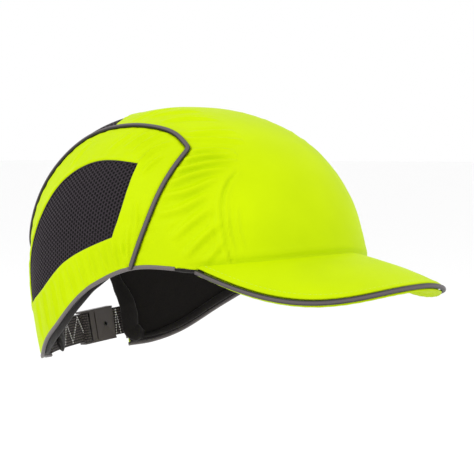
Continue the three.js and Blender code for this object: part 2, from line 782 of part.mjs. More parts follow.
const BAND = [-STRAP_THICK / 2, STRAP_THICK / 2];
const TAIL = [3.0, 4.4];
const TAIL_ENDS = [-24, 4.5];
const BAND_START = BUCKLE_X - 7.6;

add('strap_tab_right', endTab(-STRAP_REACH, -TAB_TIP, 6), 'black', strap);
add('strap_tab_left', endTab(LEFT_TAB_TIP, STRAP_REACH, 4), 'black', strap);
add('anchor_strap', anchorStrap(), 'black', strap);
add('adjusting_strap', tidy(webbing(BAND_START, STRAP_REACH, ...BAND, 10)), 'black', strap);
add('strap_tail', tidy(webbing(...TAIL_ENDS, ...TAIL, 9)), 'black', strap);
add('buckle_frame', buckleFrame(), 'plastic', buckle);
add('buckle_cam', buckleCam(), 'plastic', buckle);
add('buckle_pin', upright(PIN.x, PIN.y, PIN.r, RAIL_HALF - 0.2), 'steel', buckle);

export default cap;
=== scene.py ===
"""Looks of the bump cap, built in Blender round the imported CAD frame.

Every shape is worked out in the cap's level rim frame, in millimetres: x to the wearer's left,
y to the rear, z up, with its origin in the middle of the head opening.  world() lets the soft
edges hang a little, pitches the cap back, the way it is worn, and turns millimetres into metres.
"""

import math

import bmesh
import bpy
import numpy as np
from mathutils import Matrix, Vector

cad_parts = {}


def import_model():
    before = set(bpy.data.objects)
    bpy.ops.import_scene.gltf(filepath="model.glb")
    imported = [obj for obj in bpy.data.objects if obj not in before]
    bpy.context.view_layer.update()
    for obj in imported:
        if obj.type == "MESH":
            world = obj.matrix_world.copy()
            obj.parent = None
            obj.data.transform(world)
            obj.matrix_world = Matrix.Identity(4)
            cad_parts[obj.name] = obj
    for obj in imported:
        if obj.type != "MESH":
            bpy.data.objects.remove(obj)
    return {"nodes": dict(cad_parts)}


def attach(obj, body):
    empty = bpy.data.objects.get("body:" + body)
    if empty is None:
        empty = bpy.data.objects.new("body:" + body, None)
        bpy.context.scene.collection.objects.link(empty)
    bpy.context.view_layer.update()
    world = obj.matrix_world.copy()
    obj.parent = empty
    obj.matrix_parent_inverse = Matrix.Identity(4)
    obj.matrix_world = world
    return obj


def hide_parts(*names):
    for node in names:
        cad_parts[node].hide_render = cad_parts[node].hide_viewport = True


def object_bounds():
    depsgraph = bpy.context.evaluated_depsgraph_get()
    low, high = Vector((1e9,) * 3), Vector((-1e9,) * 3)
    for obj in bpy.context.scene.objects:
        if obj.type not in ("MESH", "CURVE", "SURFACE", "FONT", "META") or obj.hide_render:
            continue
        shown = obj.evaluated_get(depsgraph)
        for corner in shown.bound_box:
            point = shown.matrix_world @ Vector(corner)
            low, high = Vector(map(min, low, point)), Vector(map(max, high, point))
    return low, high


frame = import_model()
CAD_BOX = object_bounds()

# ------------------------------------------------------------------ dimensions (millimetres)

PITCH = math.radians(7.5)
HALF_WIDTH, FRONT_REACH, REAR_REACH, CROWN_HEIGHT = 85.6, 103.7, 104.3, 101.8
APEX_SHIFT = 8.6
PLAN_POWER = 2.08
FRONT_POWER, SIDE_POWER, REAR_POWER, RISE_POWER = 1.9, 2.37, 2.65, 2.31

LOWER_EDGE = [(0, 4.5), (50, 5), (76, 10.5), (96, 0), (116, -15), (134, -29.5), (146, -34.2), (157, -35)]
ARCH_HALF_WIDTH, ARCH_SPRING, ARCH_TOP, ARCH_POWER, ARCH_FOOT = 35.5, -4, 44, 2.6, -32
ARCH_STRAIGHT = 0.28               # share of the arch line taken by its straight foot
ARCH_JOINT = 0.5                   # share at which the side piping meets the arch

PIPING_FRONT = [(83, -26.4, 9.6), (78, -36, 32), (69, -42.8, 52), (52.5, -49, 71)]
PIPING_TOP = [(52.5, -49, 71), (48.8, -36, 80.6), (48.4, -16, 87.4), (47, 12, 90.2)]
PIPING_REAR = [(47, 12, 90.2), (48, 29, 87.5), (53, 50, 73), (54, 66, 56), (49, 80, 36)]
REAR_SEAM_BACK = 24
SEAM_FOOT_TURN = 76

WINDOW_FRONT = [(83, -15, 27.8), (79.6, -20, 41.5), (67.2, -24.5, 66.3)]
WINDOW_TOP = [(67.2, -24.5, 66.3), (67, 8, 71.3), (67.6, 33, 64), (66.8, 58, 41), (58, 78, 15)]
WINDOW_REAR = [(58, 78, 15), (58, 80, -5)]
WINDOW_BOTTOM = [(58, 80, -5), (75.5, 51.5, 3.6), (83.5, 20.7, 18.5), (83, -15, 27.8)]

DART = [(59.9, -76, 8), (59.8, -73.5, 25), (57.1, -71.6, 38.2), (51, -71.7, 49.5), (43.2, -73.4, 56.3)]

PEAK_HALF_WIDTH, PEAK_REACH, PEAK_ROOT_Y, PEAK_POWER = 71.7, 93.2, -58, 2.37
PEAK_SLOPE, PEAK_ARCH, PEAK_ARCH_POWER, PEAK_BULGE = 0.456, 21.8, 2.83, 1.6
SEAM_HEIGHT, PEAK_SEAM_TURN, PEAK_SPAN = 7.7, 55, 0.955
PEAK_DROOP = 4.2                   # how far the peak hangs lower on the wearer's left
HEM_SAG = 6.0                      # how far the lower edge sags on the wearer's right
FOLD_STRENGTH = 2.4                # how much deeper the folds are than their lists say
DEEPEST_FOLD = 0.95                # below this the cover would cut into the shell
EDGE_LIFT = 0.2                    # from the lower edge in CAD to the cloth's own
# the cloth's thickness, and the faces of the layers below the peak's top and the crown's surface
FRONT_CLOTH, SIDE_CLOTH, PEAK_CLOTH = 0.9, 0.8, 0.9
PEAK_BOARD, PEAK_UNDER = (1.3, 3.1), (3.4, 4.5)
LINING, SWEATBAND = (1.2, 2.2), (1.3, 2.0)
CLOTH_RADIUS = 95.0                # the sphere on which cloth coordinates are measured
SNAP_BETWEEN, SNAP_HALVINGS = (60.0, 125.0), 19       # all of the crown lies between these radii

STRAP_RADIUS, STRAP_BACK, STRAP_Z, STRAP_HEIGHT = 71.0, 99.2, -20.5, 17.4
STRAP_CENTRE_Y = STRAP_BACK - STRAP_RADIUS
STRAP_TILT, STRAP_PIVOT_X = math.radians(5), 17.0      # it hangs a little lower on the right
BUCKLE_X = 14.0
EYELET_X = 3.4

CAMERA_AZIMUTH, CAMERA_ELEVATION = -50.74, 3.22
CAMERA_DISTANCE, CAMERA_LENS = 0.877, 114.9
CAMERA_SIDE, CAMERA_RISE = 0.0228, 0.0257     # where it aims, beside and above the head opening


# ------------------------------------------------------------------ the crown surface

def signed_power(value, power):
    return np.sign(value) * np.abs(value) ** power


def unit(vectors):
    return vectors / np.linalg.norm(vectors, axis=-1, keepdims=True)


def plan_size(height, side_share, forward):
    """How large the plan is at a height, as a share of its size at the rim."""
    rise = np.minimum(1, (np.abs(height) / CROWN_HEIGHT) ** (RISE_POWER / 2))
    power = SIDE_POWER * side_share + np.where(forward, FRONT_POWER, REAR_POWER) * (1 - side_share)
    return np.sqrt(1 - rise * rise) ** (2 / power)


def crown_at(turn, height):
    """Points of the crown at turns from the front, in degrees, and heights."""
    turn, height = np.broadcast_arrays(np.radians(turn), np.asarray(height, float))
    s, c = np.sin(turn), np.cos(turn)
    size = plan_size(height, s * s, c > 0)
    reach = np.where(c > 0, FRONT_REACH, REAR_REACH)
    x = HALF_WIDTH * size * signed_power(s, 2 / PLAN_POWER)
    y = -reach * size * signed_power(c, 2 / PLAN_POWER) + APEX_SHIFT * (1 - size)
    return np.stack([x, y, height], -1)


def excess(p):
    """Below zero inside the crown, above zero outside."""
    x, y, z = p[..., 0], p[..., 1], p[..., 2]
    size = np.ones_like(x)
    across = (np.abs(x) / HALF_WIDTH) ** PLAN_POWER
    for _ in range(3):
        depth = y - APEX_SHIFT * (1 - size)
        along = (np.abs(depth) / np.where(depth < 0, FRONT_REACH, REAR_REACH)) ** PLAN_POWER
        radius = (across + along) ** (1 / PLAN_POWER)
        size = plan_size(z, across / (across + along + 1e-12), depth < 0)
    return np.where(np.abs(z) >= CROWN_HEIGHT, 1.0, radius - size)


def snap(p):
    """The points of the crown in the directions of p from the middle of the head opening."""
    way = unit(np.asarray(p, float))
    low, high = (np.full(way.shape[:-1], radius) for radius in SNAP_BETWEEN)
    for _ in range(SNAP_HALVINGS):
        middle = (low + high) / 2
        inside = excess(way * middle[..., None]) < 0
        low, high = np.where(inside, middle, low), np.where(inside, high, middle)
    return way * low[..., None]


def normals_at(p):
    """Outward normals of the crown below the points p."""
    way = unit(p)
    side = unit(np.cross([0.0, 0.0, 1.0], way) + np.array([1e-9, 0, 0]))
    up = np.cross(way, side)
    step = 0.01
    a = snap(way + side * step) - snap(way - side * step)
    b = snap(way + up * step) - snap(way - up * step)
    return unit(np.cross(a, b))


def ease(value, start, end):
    """0 at start, 1 at end, smooth between."""
    t = np.clip((value - start) / (end - start), 0, 1)
    return t * t * (3 - 2 * t)


def droop(p):
    """How far the soft front hangs down on the wearer's left, where the peak is a little twisted."""
    x, y, z = p[..., 0], p[..., 1], p[..., 2]
    along = ease(-y, 55, 92) * (1 - 0.7 * ease(-y, 105, 145))
    return PEAK_DROOP * ease(x, 2, 48) * along * ease(-z, -38, -9)


def sag(p):
    """How far the rear of the wearer's right side hangs lower than its left, close to its lower edge."""
    x, y, z = p[..., 0], p[..., 1], p[..., 2]
    turn = np.degrees(np.arctan2(-x / HALF_WIDTH, -y / REAR_REACH))
    above = z - np.interp(turn, *np.transpose(LOWER_EDGE))
    along = ease(turn, 90, 113) * (1 - ease(turn, 127, 147))
    return HEM_SAG * (x < 0) * along * (1 - ease(above, 2, 17))


def world(p):
    """Rim frame in millimetres to the model's own frame in metres."""
    p = np.array(p, float)
    p[..., 2] -= droop(p) + sag(p)
    c, s = math.cos(PITCH), math.sin(PITCH)
    x, y, z = p[..., 0], p[..., 1], p[..., 2]
    return np.stack([x, y * c + z * s, -y * s + z * c], -1) / 1000


# ------------------------------------------------------------------ curves

def smooth_curve(points, count):
    """A centripetal Catmull-Rom curve through the points, as count + 1 evenly spaced points."""
    pts = np.asarray(points, float)
    ends = [2 * pts[0] - pts[1], 2 * pts[-1] - pts[-2]]
    pts = np.vstack([ends[0], pts, ends[1]])
    dense = []
    for four in zip(pts, pts[1:], pts[2:], pts[3:]):
        knots = np.cumsum([0.0] + [math.sqrt(np.linalg.norm(b - a)) for a, b in zip(four, four[1:])])
        t = np.linspace(knots[1], knots[2], 60)[:, None]
        blend = four
        for spans in (((0, 1), (1, 2), (2, 3)), ((0, 2), (1, 3)), ((1, 2),)):
            shares = [(t - knots[i]) / (knots[j] - knots[i]) for i, j in spans]
            blend = [(1 - share) * a + share * b for share, a, b in zip(shares, blend, blend[1:])]
        dense.append(blend[0])
    return spaced(np.vstack(dense), count)


def travel(line):
    """How far along a line each of its points is."""
    return np.concatenate([[0], np.cumsum(np.linalg.norm(np.diff(line, axis=0), axis=1))])


def line_length(line):
    return travel(line)[-1]


def spaced(line, count):
    """The line as count + 1 evenly spaced points."""
    travelled = travel(line)
    wanted = np.linspace(0, travelled[-1], count + 1)
    return np.stack([np.interp(wanted, travelled, line[:, k]) for k in range(line.shape[1])], -1)


def same(line):
    return line


def mirrored(line):
    return np.asarray(line) * np.array([-1.0, 1.0, 1.0])


SIDES = (("left", same), ("right", mirrored))


def on_crown(points, count):
    return snap(smooth_curve(points, count))


EDGE_LINE = smooth_curve(LOWER_EDGE, 400)


def edge_height(turn):
    return np.interp(np.abs(turn), EDGE_LINE[:, 0], EDGE_LINE[:, 1])


def lower_edge(start, end, count, lift):
    turn = np.linspace(start, end, count + 1)
    return spaced(crown_at(turn, edge_height(turn) + lift), count)


def arch_line(start, end, count):
    """The left side of the arch from its foot, 0, to the middle of its top, 1."""
    share = np.linspace(start, end, count * 4 + 1)
    turn = np.clip((share - ARCH_STRAIGHT) / (1 - ARCH_STRAIGHT), 0, 1) * math.pi / 2
    x = ARCH_HALF_WIDTH * np.cos(turn).clip(0) ** (2 / ARCH_POWER)
    z = ARCH_SPRING + (ARCH_TOP - ARCH_SPRING) * np.sin(turn) ** (2 / ARCH_POWER)
    straight = ARCH_FOOT + (ARCH_SPRING - ARCH_FOOT) * np.clip(share / ARCH_STRAIGHT, 0, 1)
    z = np.where(share < ARCH_STRAIGHT, straight, z)
    y = 95 + 5 * np.clip((share - ARCH_STRAIGHT) / 0.25 + 0.5, 0, 1)
    return spaced(snap(np.stack([x, y, z], -1)), count)


def joined(*lines):
    """Lines end to end, without the doubled points."""
    return np.vstack([lines[0]] + [line[1:] for line in lines[1:]])


def closed(line):
    return np.vstack([line, line[:1]])


FRONT_SEAM = joined(on_crown(PIPING_FRONT, 60), on_crown(PIPING_TOP, 60))
REAR_PIPING = on_crown([*PIPING_REAR, arch_line(ARCH_JOINT, 1, 2)[0]], 100)
PIPING_LINE = joined(FRONT_SEAM, REAR_PIPING)
DART_LINE = on_crown(DART, 60)


def distance_to(points, line):
    """Distance from each point to a polyline, and how far along the line its foot is."""
    flat = points.reshape(-1, 3)
    line = line[np.concatenate([[True], np.linalg.norm(np.diff(line, axis=0), axis=1) > 1e-6])]
    start, step = line[:-1], np.diff(line, axis=0)
    length = np.linalg.norm(step, axis=1)
    travelled = travel(line)
    best = np.full(len(flat), 1e9)
    along = np.zeros(len(flat))
    batch = 4000
    for i in range(0, len(flat), batch):
        part = flat[i:i + batch, None, :] - start[None]
        t = np.clip((part * step).sum(-1) / (length ** 2), 0, 1)
        gap = np.linalg.norm(part - t[..., None] * step, axis=-1)
        k = gap.argmin(1)
        rows = np.arange(len(k))
        best[i:i + batch] = gap[rows, k]
        along[i:i + batch] = travelled[k] + t[rows, k] * length[k]
    return best.reshape(points.shape[:-1]), along.reshape(points.shape[:-1])


# ------------------------------------------------------------------ mesh helpers

def make_object(name, vertices, faces, uv=None, smooth=True, tint=None):
    """A mesh object from points in the model's own frame, in metres."""
    mesh = bpy.data.meshes.new(name)
    mesh.from_pydata([tuple(v) for v in np.asarray(vertices, float)], [], faces)
    if uv is not None:
        layer = mesh.uv_layers.new(name="cloth")
        corner = np.zeros(len(mesh.loops), np.int32)
        mesh.loops.foreach_get("vertex_index", corner)
        layer.data.foreach_set("uv", np.asarray(uv, float)[corner].ravel())
    # the painted shade: a point attribute, 1 where the colour is darkened to stand in for shade
    if tint is not None:
        attribute = mesh.attributes.new("tint", "FLOAT", "POINT")
        attribute.data.foreach_set("value", np.asarray(tint, float).ravel())
    mesh.validate()
    mesh.polygons.foreach_set("use_smooth", [smooth] * len(mesh.polygons))
    mesh.update()
    obj = bpy.data.objects.new(name, mesh)
    bpy.context.scene.collection.objects.link(obj)
    return obj


def recalculated(obj):
    """Joins doubled points and turns all faces outward."""
    bm = bmesh.new()
    bm.from_mesh(obj.data)
    bmesh.ops.remove_doubles(bm, verts=bm.verts, dist=1e-6)
    bmesh.ops.recalc_face_normals(bm, faces=bm.faces)
    bm.to_mesh(obj.data)
    bm.free()
    return obj


def grid_quads(rows, columns, offset, ring, flip=False):
    """Faces between the points of a grid, whose rows are closed if it is a ring."""
    last = columns if ring else columns - 1
    i, j = np.meshgrid(np.arange(rows - 1), np.arange(last), indexing="ij")
    a = offset + i * columns + j
    b = offset + i * columns + (j + 1) % columns
    c = b + columns
    d = a + columns
    quads = np.stack([a, b, c, d] if not flip else [a, d, c, b], -1).reshape(-1, 4)
    return quads.tolist()


def rim_quads(rows, columns, ring):
    """Faces that join the borders of two stacked grids."""
    points = np.arange(rows * columns).reshape(rows, columns)
    first, last = points[0], points[-1][::-1]
    around = [first, points[1:, -1], last[1:], points[1:-1, 0][::-1]]
    quads = []
    for path in [first, last] if ring else [np.concatenate(around)]:
        ahead = np.roll(path, -1)
        quads += np.stack([path, path + points.size, ahead + points.size, ahead], -1).tolist()
    return quads


def thick_piece(name, outer, inner, uv, ring=False, tint=None):
    """A closed cloth piece between two matching grids, in the rim frame."""
    rows, columns = outer.shape[:2]
    points = world(np.concatenate([outer.reshape(-1, 3), inner.reshape(-1, 3)]))
    faces = grid_quads(rows, columns, 0, ring) + grid_quads(rows, columns, rows * columns, ring, True)
    faces += rim_quads(rows, columns, ring)
    uv = uv.reshape(-1, 2)
    tints = None if tint is None else np.concatenate([tint.ravel(), tint.ravel()])
    obj = make_object(name, points, faces, np.concatenate([uv, uv]), tint=tints)
    return recalculated(obj)


def spanned(bottom, top, left, right):
    """A grid spanned by four border lines."""
    v = np.linspace(0, 1, len(left))[:, None, None]
    u = np.linspace(0, 1, len(bottom))[None, :, None]
    grid = (1 - v) * bottom[None] + v * top[None] + (1 - u) * left[:, None] + u * right[:, None]
    grid -= (1 - u) * (1 - v) * bottom[0] + u * (1 - v) * bottom[-1]
    grid -= (1 - u) * v * top[0] + u * v * top[-1]
    return grid


def cloth_axes(centre):
    """The directions of a cloth's centre, of its first axis and of its second."""
    middle = unit(np.asarray(centre, float))
    side = np.cross([0, 0, 1.0], middle)
    side = unit(side) if np.linalg.norm(side) > 0.01 else np.array([1.0, 0, 0])
    return middle, side, np.cross(middle, side)


def cloth_uv(points, centre):
    """Flat cloth coordinates in millimetres round a centre, true to length near it."""
    middle, side, up = cloth_axes(centre)
    way = unit(points)
    a, b = way @ side, way @ up
    angle = np.arccos(np.clip(way @ middle, -1, 1))
    scale = CLOTH_RADIUS * angle / np.maximum(np.sqrt(a * a + b * b), 1e-9)
    return np.stack([a * scale, b * scale], -1)


def from_cloth_uv(uv, centre):
    """The directions whose flat cloth coordinates are uv."""
    middle, side, up = cloth_axes(centre)
    flat = uv / CLOTH_RADIUS
    angle = np.linalg.norm(flat, axis=-1, keepdims=True)
    way = flat / np.maximum(angle, 1e-9)
    return np.cos(angle) * middle + np.sin(angle) * (way[..., :1] * side + way[..., 1:] * up)


def bump_line(distance, width, height):
    """A rounded ridge, or a groove if height is below zero, where distance is near zero."""
    return height * np.exp(-(distance / width) ** 2)


def ripple(along, pitch, phase=0.0):
    return np.sin(along * 2 * math.pi / pitch + phase)


def noise(points, scale, seed):
    """Smooth noise from a few sine waves in fixed pseudo-random directions."""
    rng = np.random.default_rng(seed)
    total = np.zeros(points.shape[:-1])
    for _ in range(7):
        way = unit(rng.normal(size=3))
        total += np.sin(points @ way * (2 * math.pi / scale) * rng.uniform(0.6, 1.6) + rng.uniform(0, 6.28))
    return total / 7


def sweep(name, line, section, outward, tint=None, loop=False):
    """A closed piece along a line in the rim frame.

    The section's points are (across, out), the same all along or given for each point of the line.
    """
    tangent = unit(np.roll(line, -1, 0) - np.roll(line, 1, 0) if loop else np.gradient(line, axis=0))
    side = unit(np.cross(tangent, outward))
    out = np.cross(side, tangent)
    if section.ndim == 2:
        section = np.broadcast_to(section, (len(line),) + section.shape)
    rings = line[:, None] + section[..., :1] * side[:, None] + section[..., 1:] * out[:, None]
    rows, columns = rings.shape[:2]
    faces = grid_quads(rows, columns, 0, True)
    last = [(rows - 1) * columns + j for j in range(columns)]
    if loop:
        faces += [[last[j], last[(j + 1) % columns], (j + 1) % columns, j] for j in range(columns)]
    else:
        faces += [list(range(columns))[::-1], last]
    around = np.arange(columns) / columns
    uv = np.stack(np.broadcast_arrays(travel(line)[:, None], around[None]), -1)
    tints = None if tint is None else np.broadcast_to(np.asarray(tint)[None], (rows, columns))
    obj = make_object(name, world(rings.reshape(-1, 3)), faces, uv.reshape(-1, 2), tint=tints)
    return recalculated(obj)


def round_section(half_across, half_out, across, out, count, power=2.0):
    """A rounded outline of count points round (across, out); a power above 2 makes it squarer."""
    turn = np.linspace(0, 2 * math.pi, count, endpoint=False)
    a = across + half_across * signed_power(np.cos(turn), 2 / power)
    o = out + half_out * signed_power(np.sin(turn), 2 / power)
    return np.stack([a, o], -1)


# ------------------------------------------------------------------ materials

def srgb(*channels):
    """A linear colour from three sRGB channels out of 255."""
    c = np.array(channels) / 255
    linear = np.where(c <= 0.04045, c / 12.92, ((c + 0.055) / 1.055) ** 2.4)
    return tuple(linear.tolist()) + (1.0,)


class Nodes:
    """Short names for building a material.  Waves and weaves have pitches in millimetres."""

    def __init__(self, name):
        self.material = bpy.data.materials.new(name)
        self.material.use_nodes = True
        self.tree = self.material.node_tree
        self.shader = self.tree.nodes["Principled BSDF"]

    def new(self, kind, **settings):
        node = self.tree.nodes.new("ShaderNode" + kind)
        for key, value in settings.items():
            if hasattr(node, key):
                setattr(node, key, value)
            else:
                node.inputs[key.replace("_", " ")].default_value = value
        return node

    def link(self, start, end):
        self.tree.links.new(start, end)

    def set(self, **values):
        for key, value in values.items():
            self.shader.inputs[key.replace("_", " ")].default_value = value

    def colour(self, value):
        self.link(value, self.shader.inputs["Base Color"])

    def math(self, operation, first, second=None):
        node = self.new("Math", operation=operation)
        for slot, value in zip(node.inputs, (first, second)):
            if value is None:
                continue
            if isinstance(value, (int, float)):
                slot.default_value = value
            else:
                self.link(value, slot)
        return node.outputs[0]

    def tones(self, value, low, high, start=0.3, end=0.7):
        """Runs from one colour to another as the value goes from start to end."""
        node = self.new("ValToRGB")
        for element, place, colour in zip(node.color_ramp.elements, (start, end), (low, high)):
            element.position = place
            element.color = colour
        self.link(value, node.inputs[0])
        return node.outputs[0]

    def darkened(self, colour, dark):
        """The colour, but with painted shade, the dark colour, where the mesh marks it with 1."""
        mix = self.new("Mix", data_type="RGBA")
        self.link(self.new("Attribute", attribute_name="tint").outputs["Fac"], mix.inputs[0])
        self.link(colour, mix.inputs[6])
        mix.inputs[7].default_value = dark
        return mix.outputs[2]

    def place(self):
        return self.new("TexCoord").outputs["Object"]

    def noise(self, scale, detail):
        node = self.new("TexNoise", Scale=scale, Detail=detail)
        self.link(self.place(), node.inputs["Vector"])
        return node.outputs["Fac"]

    def wave(self, axis, pitch):
        """A sine wave along one axis of the cloth."""
        split = self.new("SeparateXYZ")
        self.link(self.new("UVMap", uv_map="cloth").outputs[0], split.inputs[0])
        return self.math("SINE", self.math("MULTIPLY", split.outputs[axis], 2 * math.pi / pitch))

    def weave(self, pitch):
        """Plain weave: threads over and under."""
        return self.math("MULTIPLY", self.wave(0, pitch), self.wave(1, pitch))

    def bump(self, height, distance, strength):
        node = self.new("Bump", Strength=strength, Distance=distance)
        self.link(height, node.inputs["Height"])
        self.link(node.outputs[0], self.shader.inputs["Normal"])

    def relief(self, pattern, share, grain, distance, strength):
        """Bumps from a share of a regular pattern together with a grain."""
        height = self.math("ADD", self.math("MULTIPLY", pattern, share), grain)
        self.bump(height, distance, strength)


def hi_vis_fabric():
    n = Nodes("hi_vis_fabric")
    n.colour(n.tones(n.noise(22.0, 4.0), srgb(184, 210, 0), srgb(192, 218, 0)))
    n.set(Roughness=0.5, Specular_IOR_Level=0.04)
    n.relief(n.weave(0.62), 0.5, n.noise(900.0, 2.0), 0.00006, 0.6)
    return n.material


def mesh_fabric():
    """Knitted mesh: violet-black yarn, with near-black painted shade inside the holes, where the mesh marks
    it.
    """
    n = Nodes("mesh_fabric")
    grain = n.noise(2600.0, 3.0)
    yarn = n.tones(grain, srgb(32, 24, 31), srgb(54, 43, 52), end=0.75)
    # near-black painted shade inside the holes, for the black lining in shade behind them
    n.colour(n.darkened(yarn, srgb(4, 3, 4)))
    n.set(Roughness=0.8, Sheen_Weight=0.12, Specular_IOR_Level=0.25)
    n.bump(grain, 0.00012, 0.8)
    return n.material


def reflective_trim():
    """Grey reflective tape; its edges, where the mesh marks them, are darkened with painted shade for the
    shaded edges of the round cord.
    """
    n = Nodes("reflective_trim")
    beads = n.noise(5200.0, 2.0)
    grey = n.tones(beads, srgb(74, 67, 69), srgb(92, 84, 86))
    # painted shade, dark, where the piping's edges are marked
    n.colour(n.darkened(grey, srgb(30, 26, 25)))
    n.set(Roughness=0.5, Metallic=0.1)
    n.relief(n.wave(0, 0.7), 0.3, beads, 0.00006, 0.6)
    return n.material


def edge_tape():
    n = Nodes("edge_tape")
    beads = n.noise(4200.0, 2.0)
    n.colour(n.tones(beads, srgb(86, 80, 80), srgb(112, 105, 104)))
    n.set(Roughness=0.45, Metallic=0.1)
    n.relief(n.wave(0, 0.8), 0.4, beads, 0.00008, 0.6)
    return n.material


def lining_fabric():
    n = Nodes("lining_fabric")
    fuzz = n.noise(1400.0, 4.0)
    n.colour(n.tones(fuzz, srgb(15, 12, 11), srgb(29, 24, 22), end=0.75))
    n.set(Roughness=0.85, Sheen_Weight=0.2, Sheen_Roughness=0.5, Specular_IOR_Level=0.25)
    n.relief(n.weave(0.9), 0.5, fuzz, 0.0001, 0.7)
    return n.material


def webbing():
    """Brown-grey yarn, with painted shade in the grooves of the weave, where the mesh marks them."""
    n = Nodes("webbing")
    yarn = n.noise(2400.0, 3.0)
    colour = n.tones(yarn, srgb(70, 63, 60), srgb(104, 95, 91), end=0.75)
    # dark painted shade in the grooves between the ribs and in the small gaps along each rib
    n.colour(n.darkened(colour, srgb(9, 8, 8)))
    n.set(Roughness=0.75, Sheen_Weight=0.15, Specular_IOR_Level=0.3)
    n.relief(n.weave(1.1), 1.0, yarn, 0.00012, 0.7)
    return n.material


def plain_plastic(name, low, high, roughness):
    n = Nodes(name)
    n.colour(n.tones(n.noise(60.0, 3.0), low, high))
    smooth, worn = [(value,) * 3 + (1,) for value in (roughness, roughness + 0.15)]
    n.link(n.tones(n.noise(140.0, 4.0), smooth, worn, 0.35, 0.75), n.shader.inputs["Roughness"])
    n.bump(n.noise(1800.0, 2.0), 0.00003, 0.6)
    return n.material


def foam():
    n = Nodes("foam")
    voronoi = n.new("TexVoronoi", feature="F1", Scale=1500.0)
    n.link(n.place(), voronoi.inputs["Vector"])
    cells = voronoi.outputs["Distance"]
    n.colour(n.tones(cells, srgb(26, 25, 28), srgb(46, 45, 49), start=0.1))
    n.set(Roughness=0.9)
    n.bump(cells, 0.00012, 0.7)
    return n.material


def thread(name, colour):
    n = Nodes(name)
    twist = n.noise(3800.0, 1.0)
    shaded = tuple(c * 0.72 for c in colour[:3]) + (1.0,)
    n.colour(n.tones(twist, shaded, colour, 0.35, 0.65))
    n.set(Roughness=0.6, Sheen_Weight=0.2)
    n.bump(twist, 0.00005, 0.6)
    return n.material


def steel():
    n = Nodes("pin_steel")
    streak = n.noise(900.0, 2.0)
    n.colour(n.tones(streak, srgb(170, 172, 175), srgb(200, 202, 204)))
    n.set(Metallic=1.0, Roughness=0.3)
    n.bump(streak, 0.00002, 0.4)
    return n.material


MATERIALS = {
    "hi_vis_fabric": hi_vis_fabric(),
    "mesh_fabric": mesh_fabric(),
    "reflective_trim": reflective_trim(),
    "edge_binding": edge_tape(),
    "lining_fabric": lining_fabric(),
    "webbing": webbing(),
    "shell_plastic": plain_plastic("shell_plastic", srgb(30, 30, 32), srgb(42, 42, 44), 0.42),
    "foam": foam(),
    "peak_board": plain_plastic("peak_board", srgb(200, 200, 195), srgb(214, 214, 208), 0.5),
    "buckle_plastic": plain_plastic("buckle_plastic", srgb(60, 53, 50), srgb(74, 66, 62), 0.4),
    "pin_steel": steel(),
}
WHITE_THREAD = thread("white_thread", srgb(240, 238, 234))
YELLOW_THREAD = thread("yellow_thread", srgb(205, 232, 20))


def finish_piece(obj, slot, nodes=(), body="cap", material=None):
    """Gives a piece its material, from its slot unless one is given, puts it under its body, and hides the
    CAD nodes that it stands for.
    """
    obj.data.materials.clear()
    obj.data.materials.append(material or MATERIALS[slot])
    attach(obj, body)
    if nodes:
        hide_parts(*nodes)
    return obj


def side_sweeps(name, line, sections, slot, node="", **how):
    """A piece swept along a line of the crown on the left, with its own section, and on the right."""
    normal = normals_at(line)
    for (side, place), section in zip(SIDES, sections):
        obj = sweep(f"{name}_{side}", place(line), section, place(normal), **how)
        finish_piece(obj, slot, [f"{node}_{side}"] if node else ())


# ------------------------------------------------------------------ stitching

STITCH_LIFT = 0.1
STITCH_SIDES = 6
# how far apart the stitches are, how long each is, and its radius
PEAK_STITCH = (2.6, 1.9, 0.16)
STRAP_STITCH = (1.5, 1.2, 0.33)
# each ring of a stitch: its place along the stitch, its width and how high it rises
STITCH_RINGS = [(-0.5, 0.0, -0.5), (-0.42, 0.75, -0.1), (-0.15, 1.0, 0.25),
                (0.15, 1.0, 0.25), (0.42, 0.75, -0.1), (0.5, 0.0, -0.5)]


def stitch_points(centre, out, way, length, radius):
    """The rings of one stitch, one after the other."""
    side = np.cross(out, way)
    points = []
    for share, width, rise in STITCH_RINGS:
        middle = centre + way * (share * length) + out * (STITCH_LIFT + rise * radius)
        for turn in np.linspace(0, 2 * math.pi, STITCH_SIDES, endpoint=False):
            points.append(middle + (side * math.cos(turn) + out * math.sin(turn)) * radius * max(width, 0.05))
    return points


def stitch_run(name, line, normals, size, slot, material, body="cap"):
    """A row of short rounded stitches along a line in the rim frame."""
    pitch, length, radius = size
    count = max(2, int(line_length(line) / pitch))
    centres = spaced(line, count)
    ways = np.gradient(centres, axis=0)
    vertices, faces = [], []
    for centre, out, way in zip(centres, spaced(normals, count), ways):
        faces += grid_quads(len(STITCH_RINGS), STITCH_SIDES, len(vertices), ring=True)
        vertices += stitch_points(centre, unit(out), unit(way), length, radius)
    uv = np.zeros((len(vertices), 2))
    obj = recalculated(make_object(name, world(np.array(vertices)), faces, uv))
    return finish_piece(obj, slot, (), body, material)


# ------------------------------------------------------------------ crown cover

def seam_relief(points, line, seed, depth=1.0, puff=0.35):
    """Cloth dips into a sewn seam, stands up beside it, and puckers along it, as seed shifts it."""
    gap, along = distance_to(points, line)
    wave = ripple(along, 9.0, seed) + 0.6 * ripple(along, 5.3, 2 * seed)
    relief = bump_line(gap, 1.3, -depth) + bump_line(gap - 3.0, 2.6, puff)
    return relief + bump_line(gap - 3.2, 3.0, 0.12 * wave)


def fold(points, line, width, height):
    """A soft fold along a line through a few points of the crown, fading at both ends."""
    path = on_crown(line, 24)
    gap, along = distance_to(points, path)
    fade = np.sin(np.clip(along / line_length(path), 0, 1) * math.pi) ** 0.6
    width = 0.72 * width
    ridge = bump_line(gap, width, 1) - bump_line(gap - 1.7 * width, 0.9 * width, 0.45)
    return FOLD_STRENGTH * height * fade * ridge


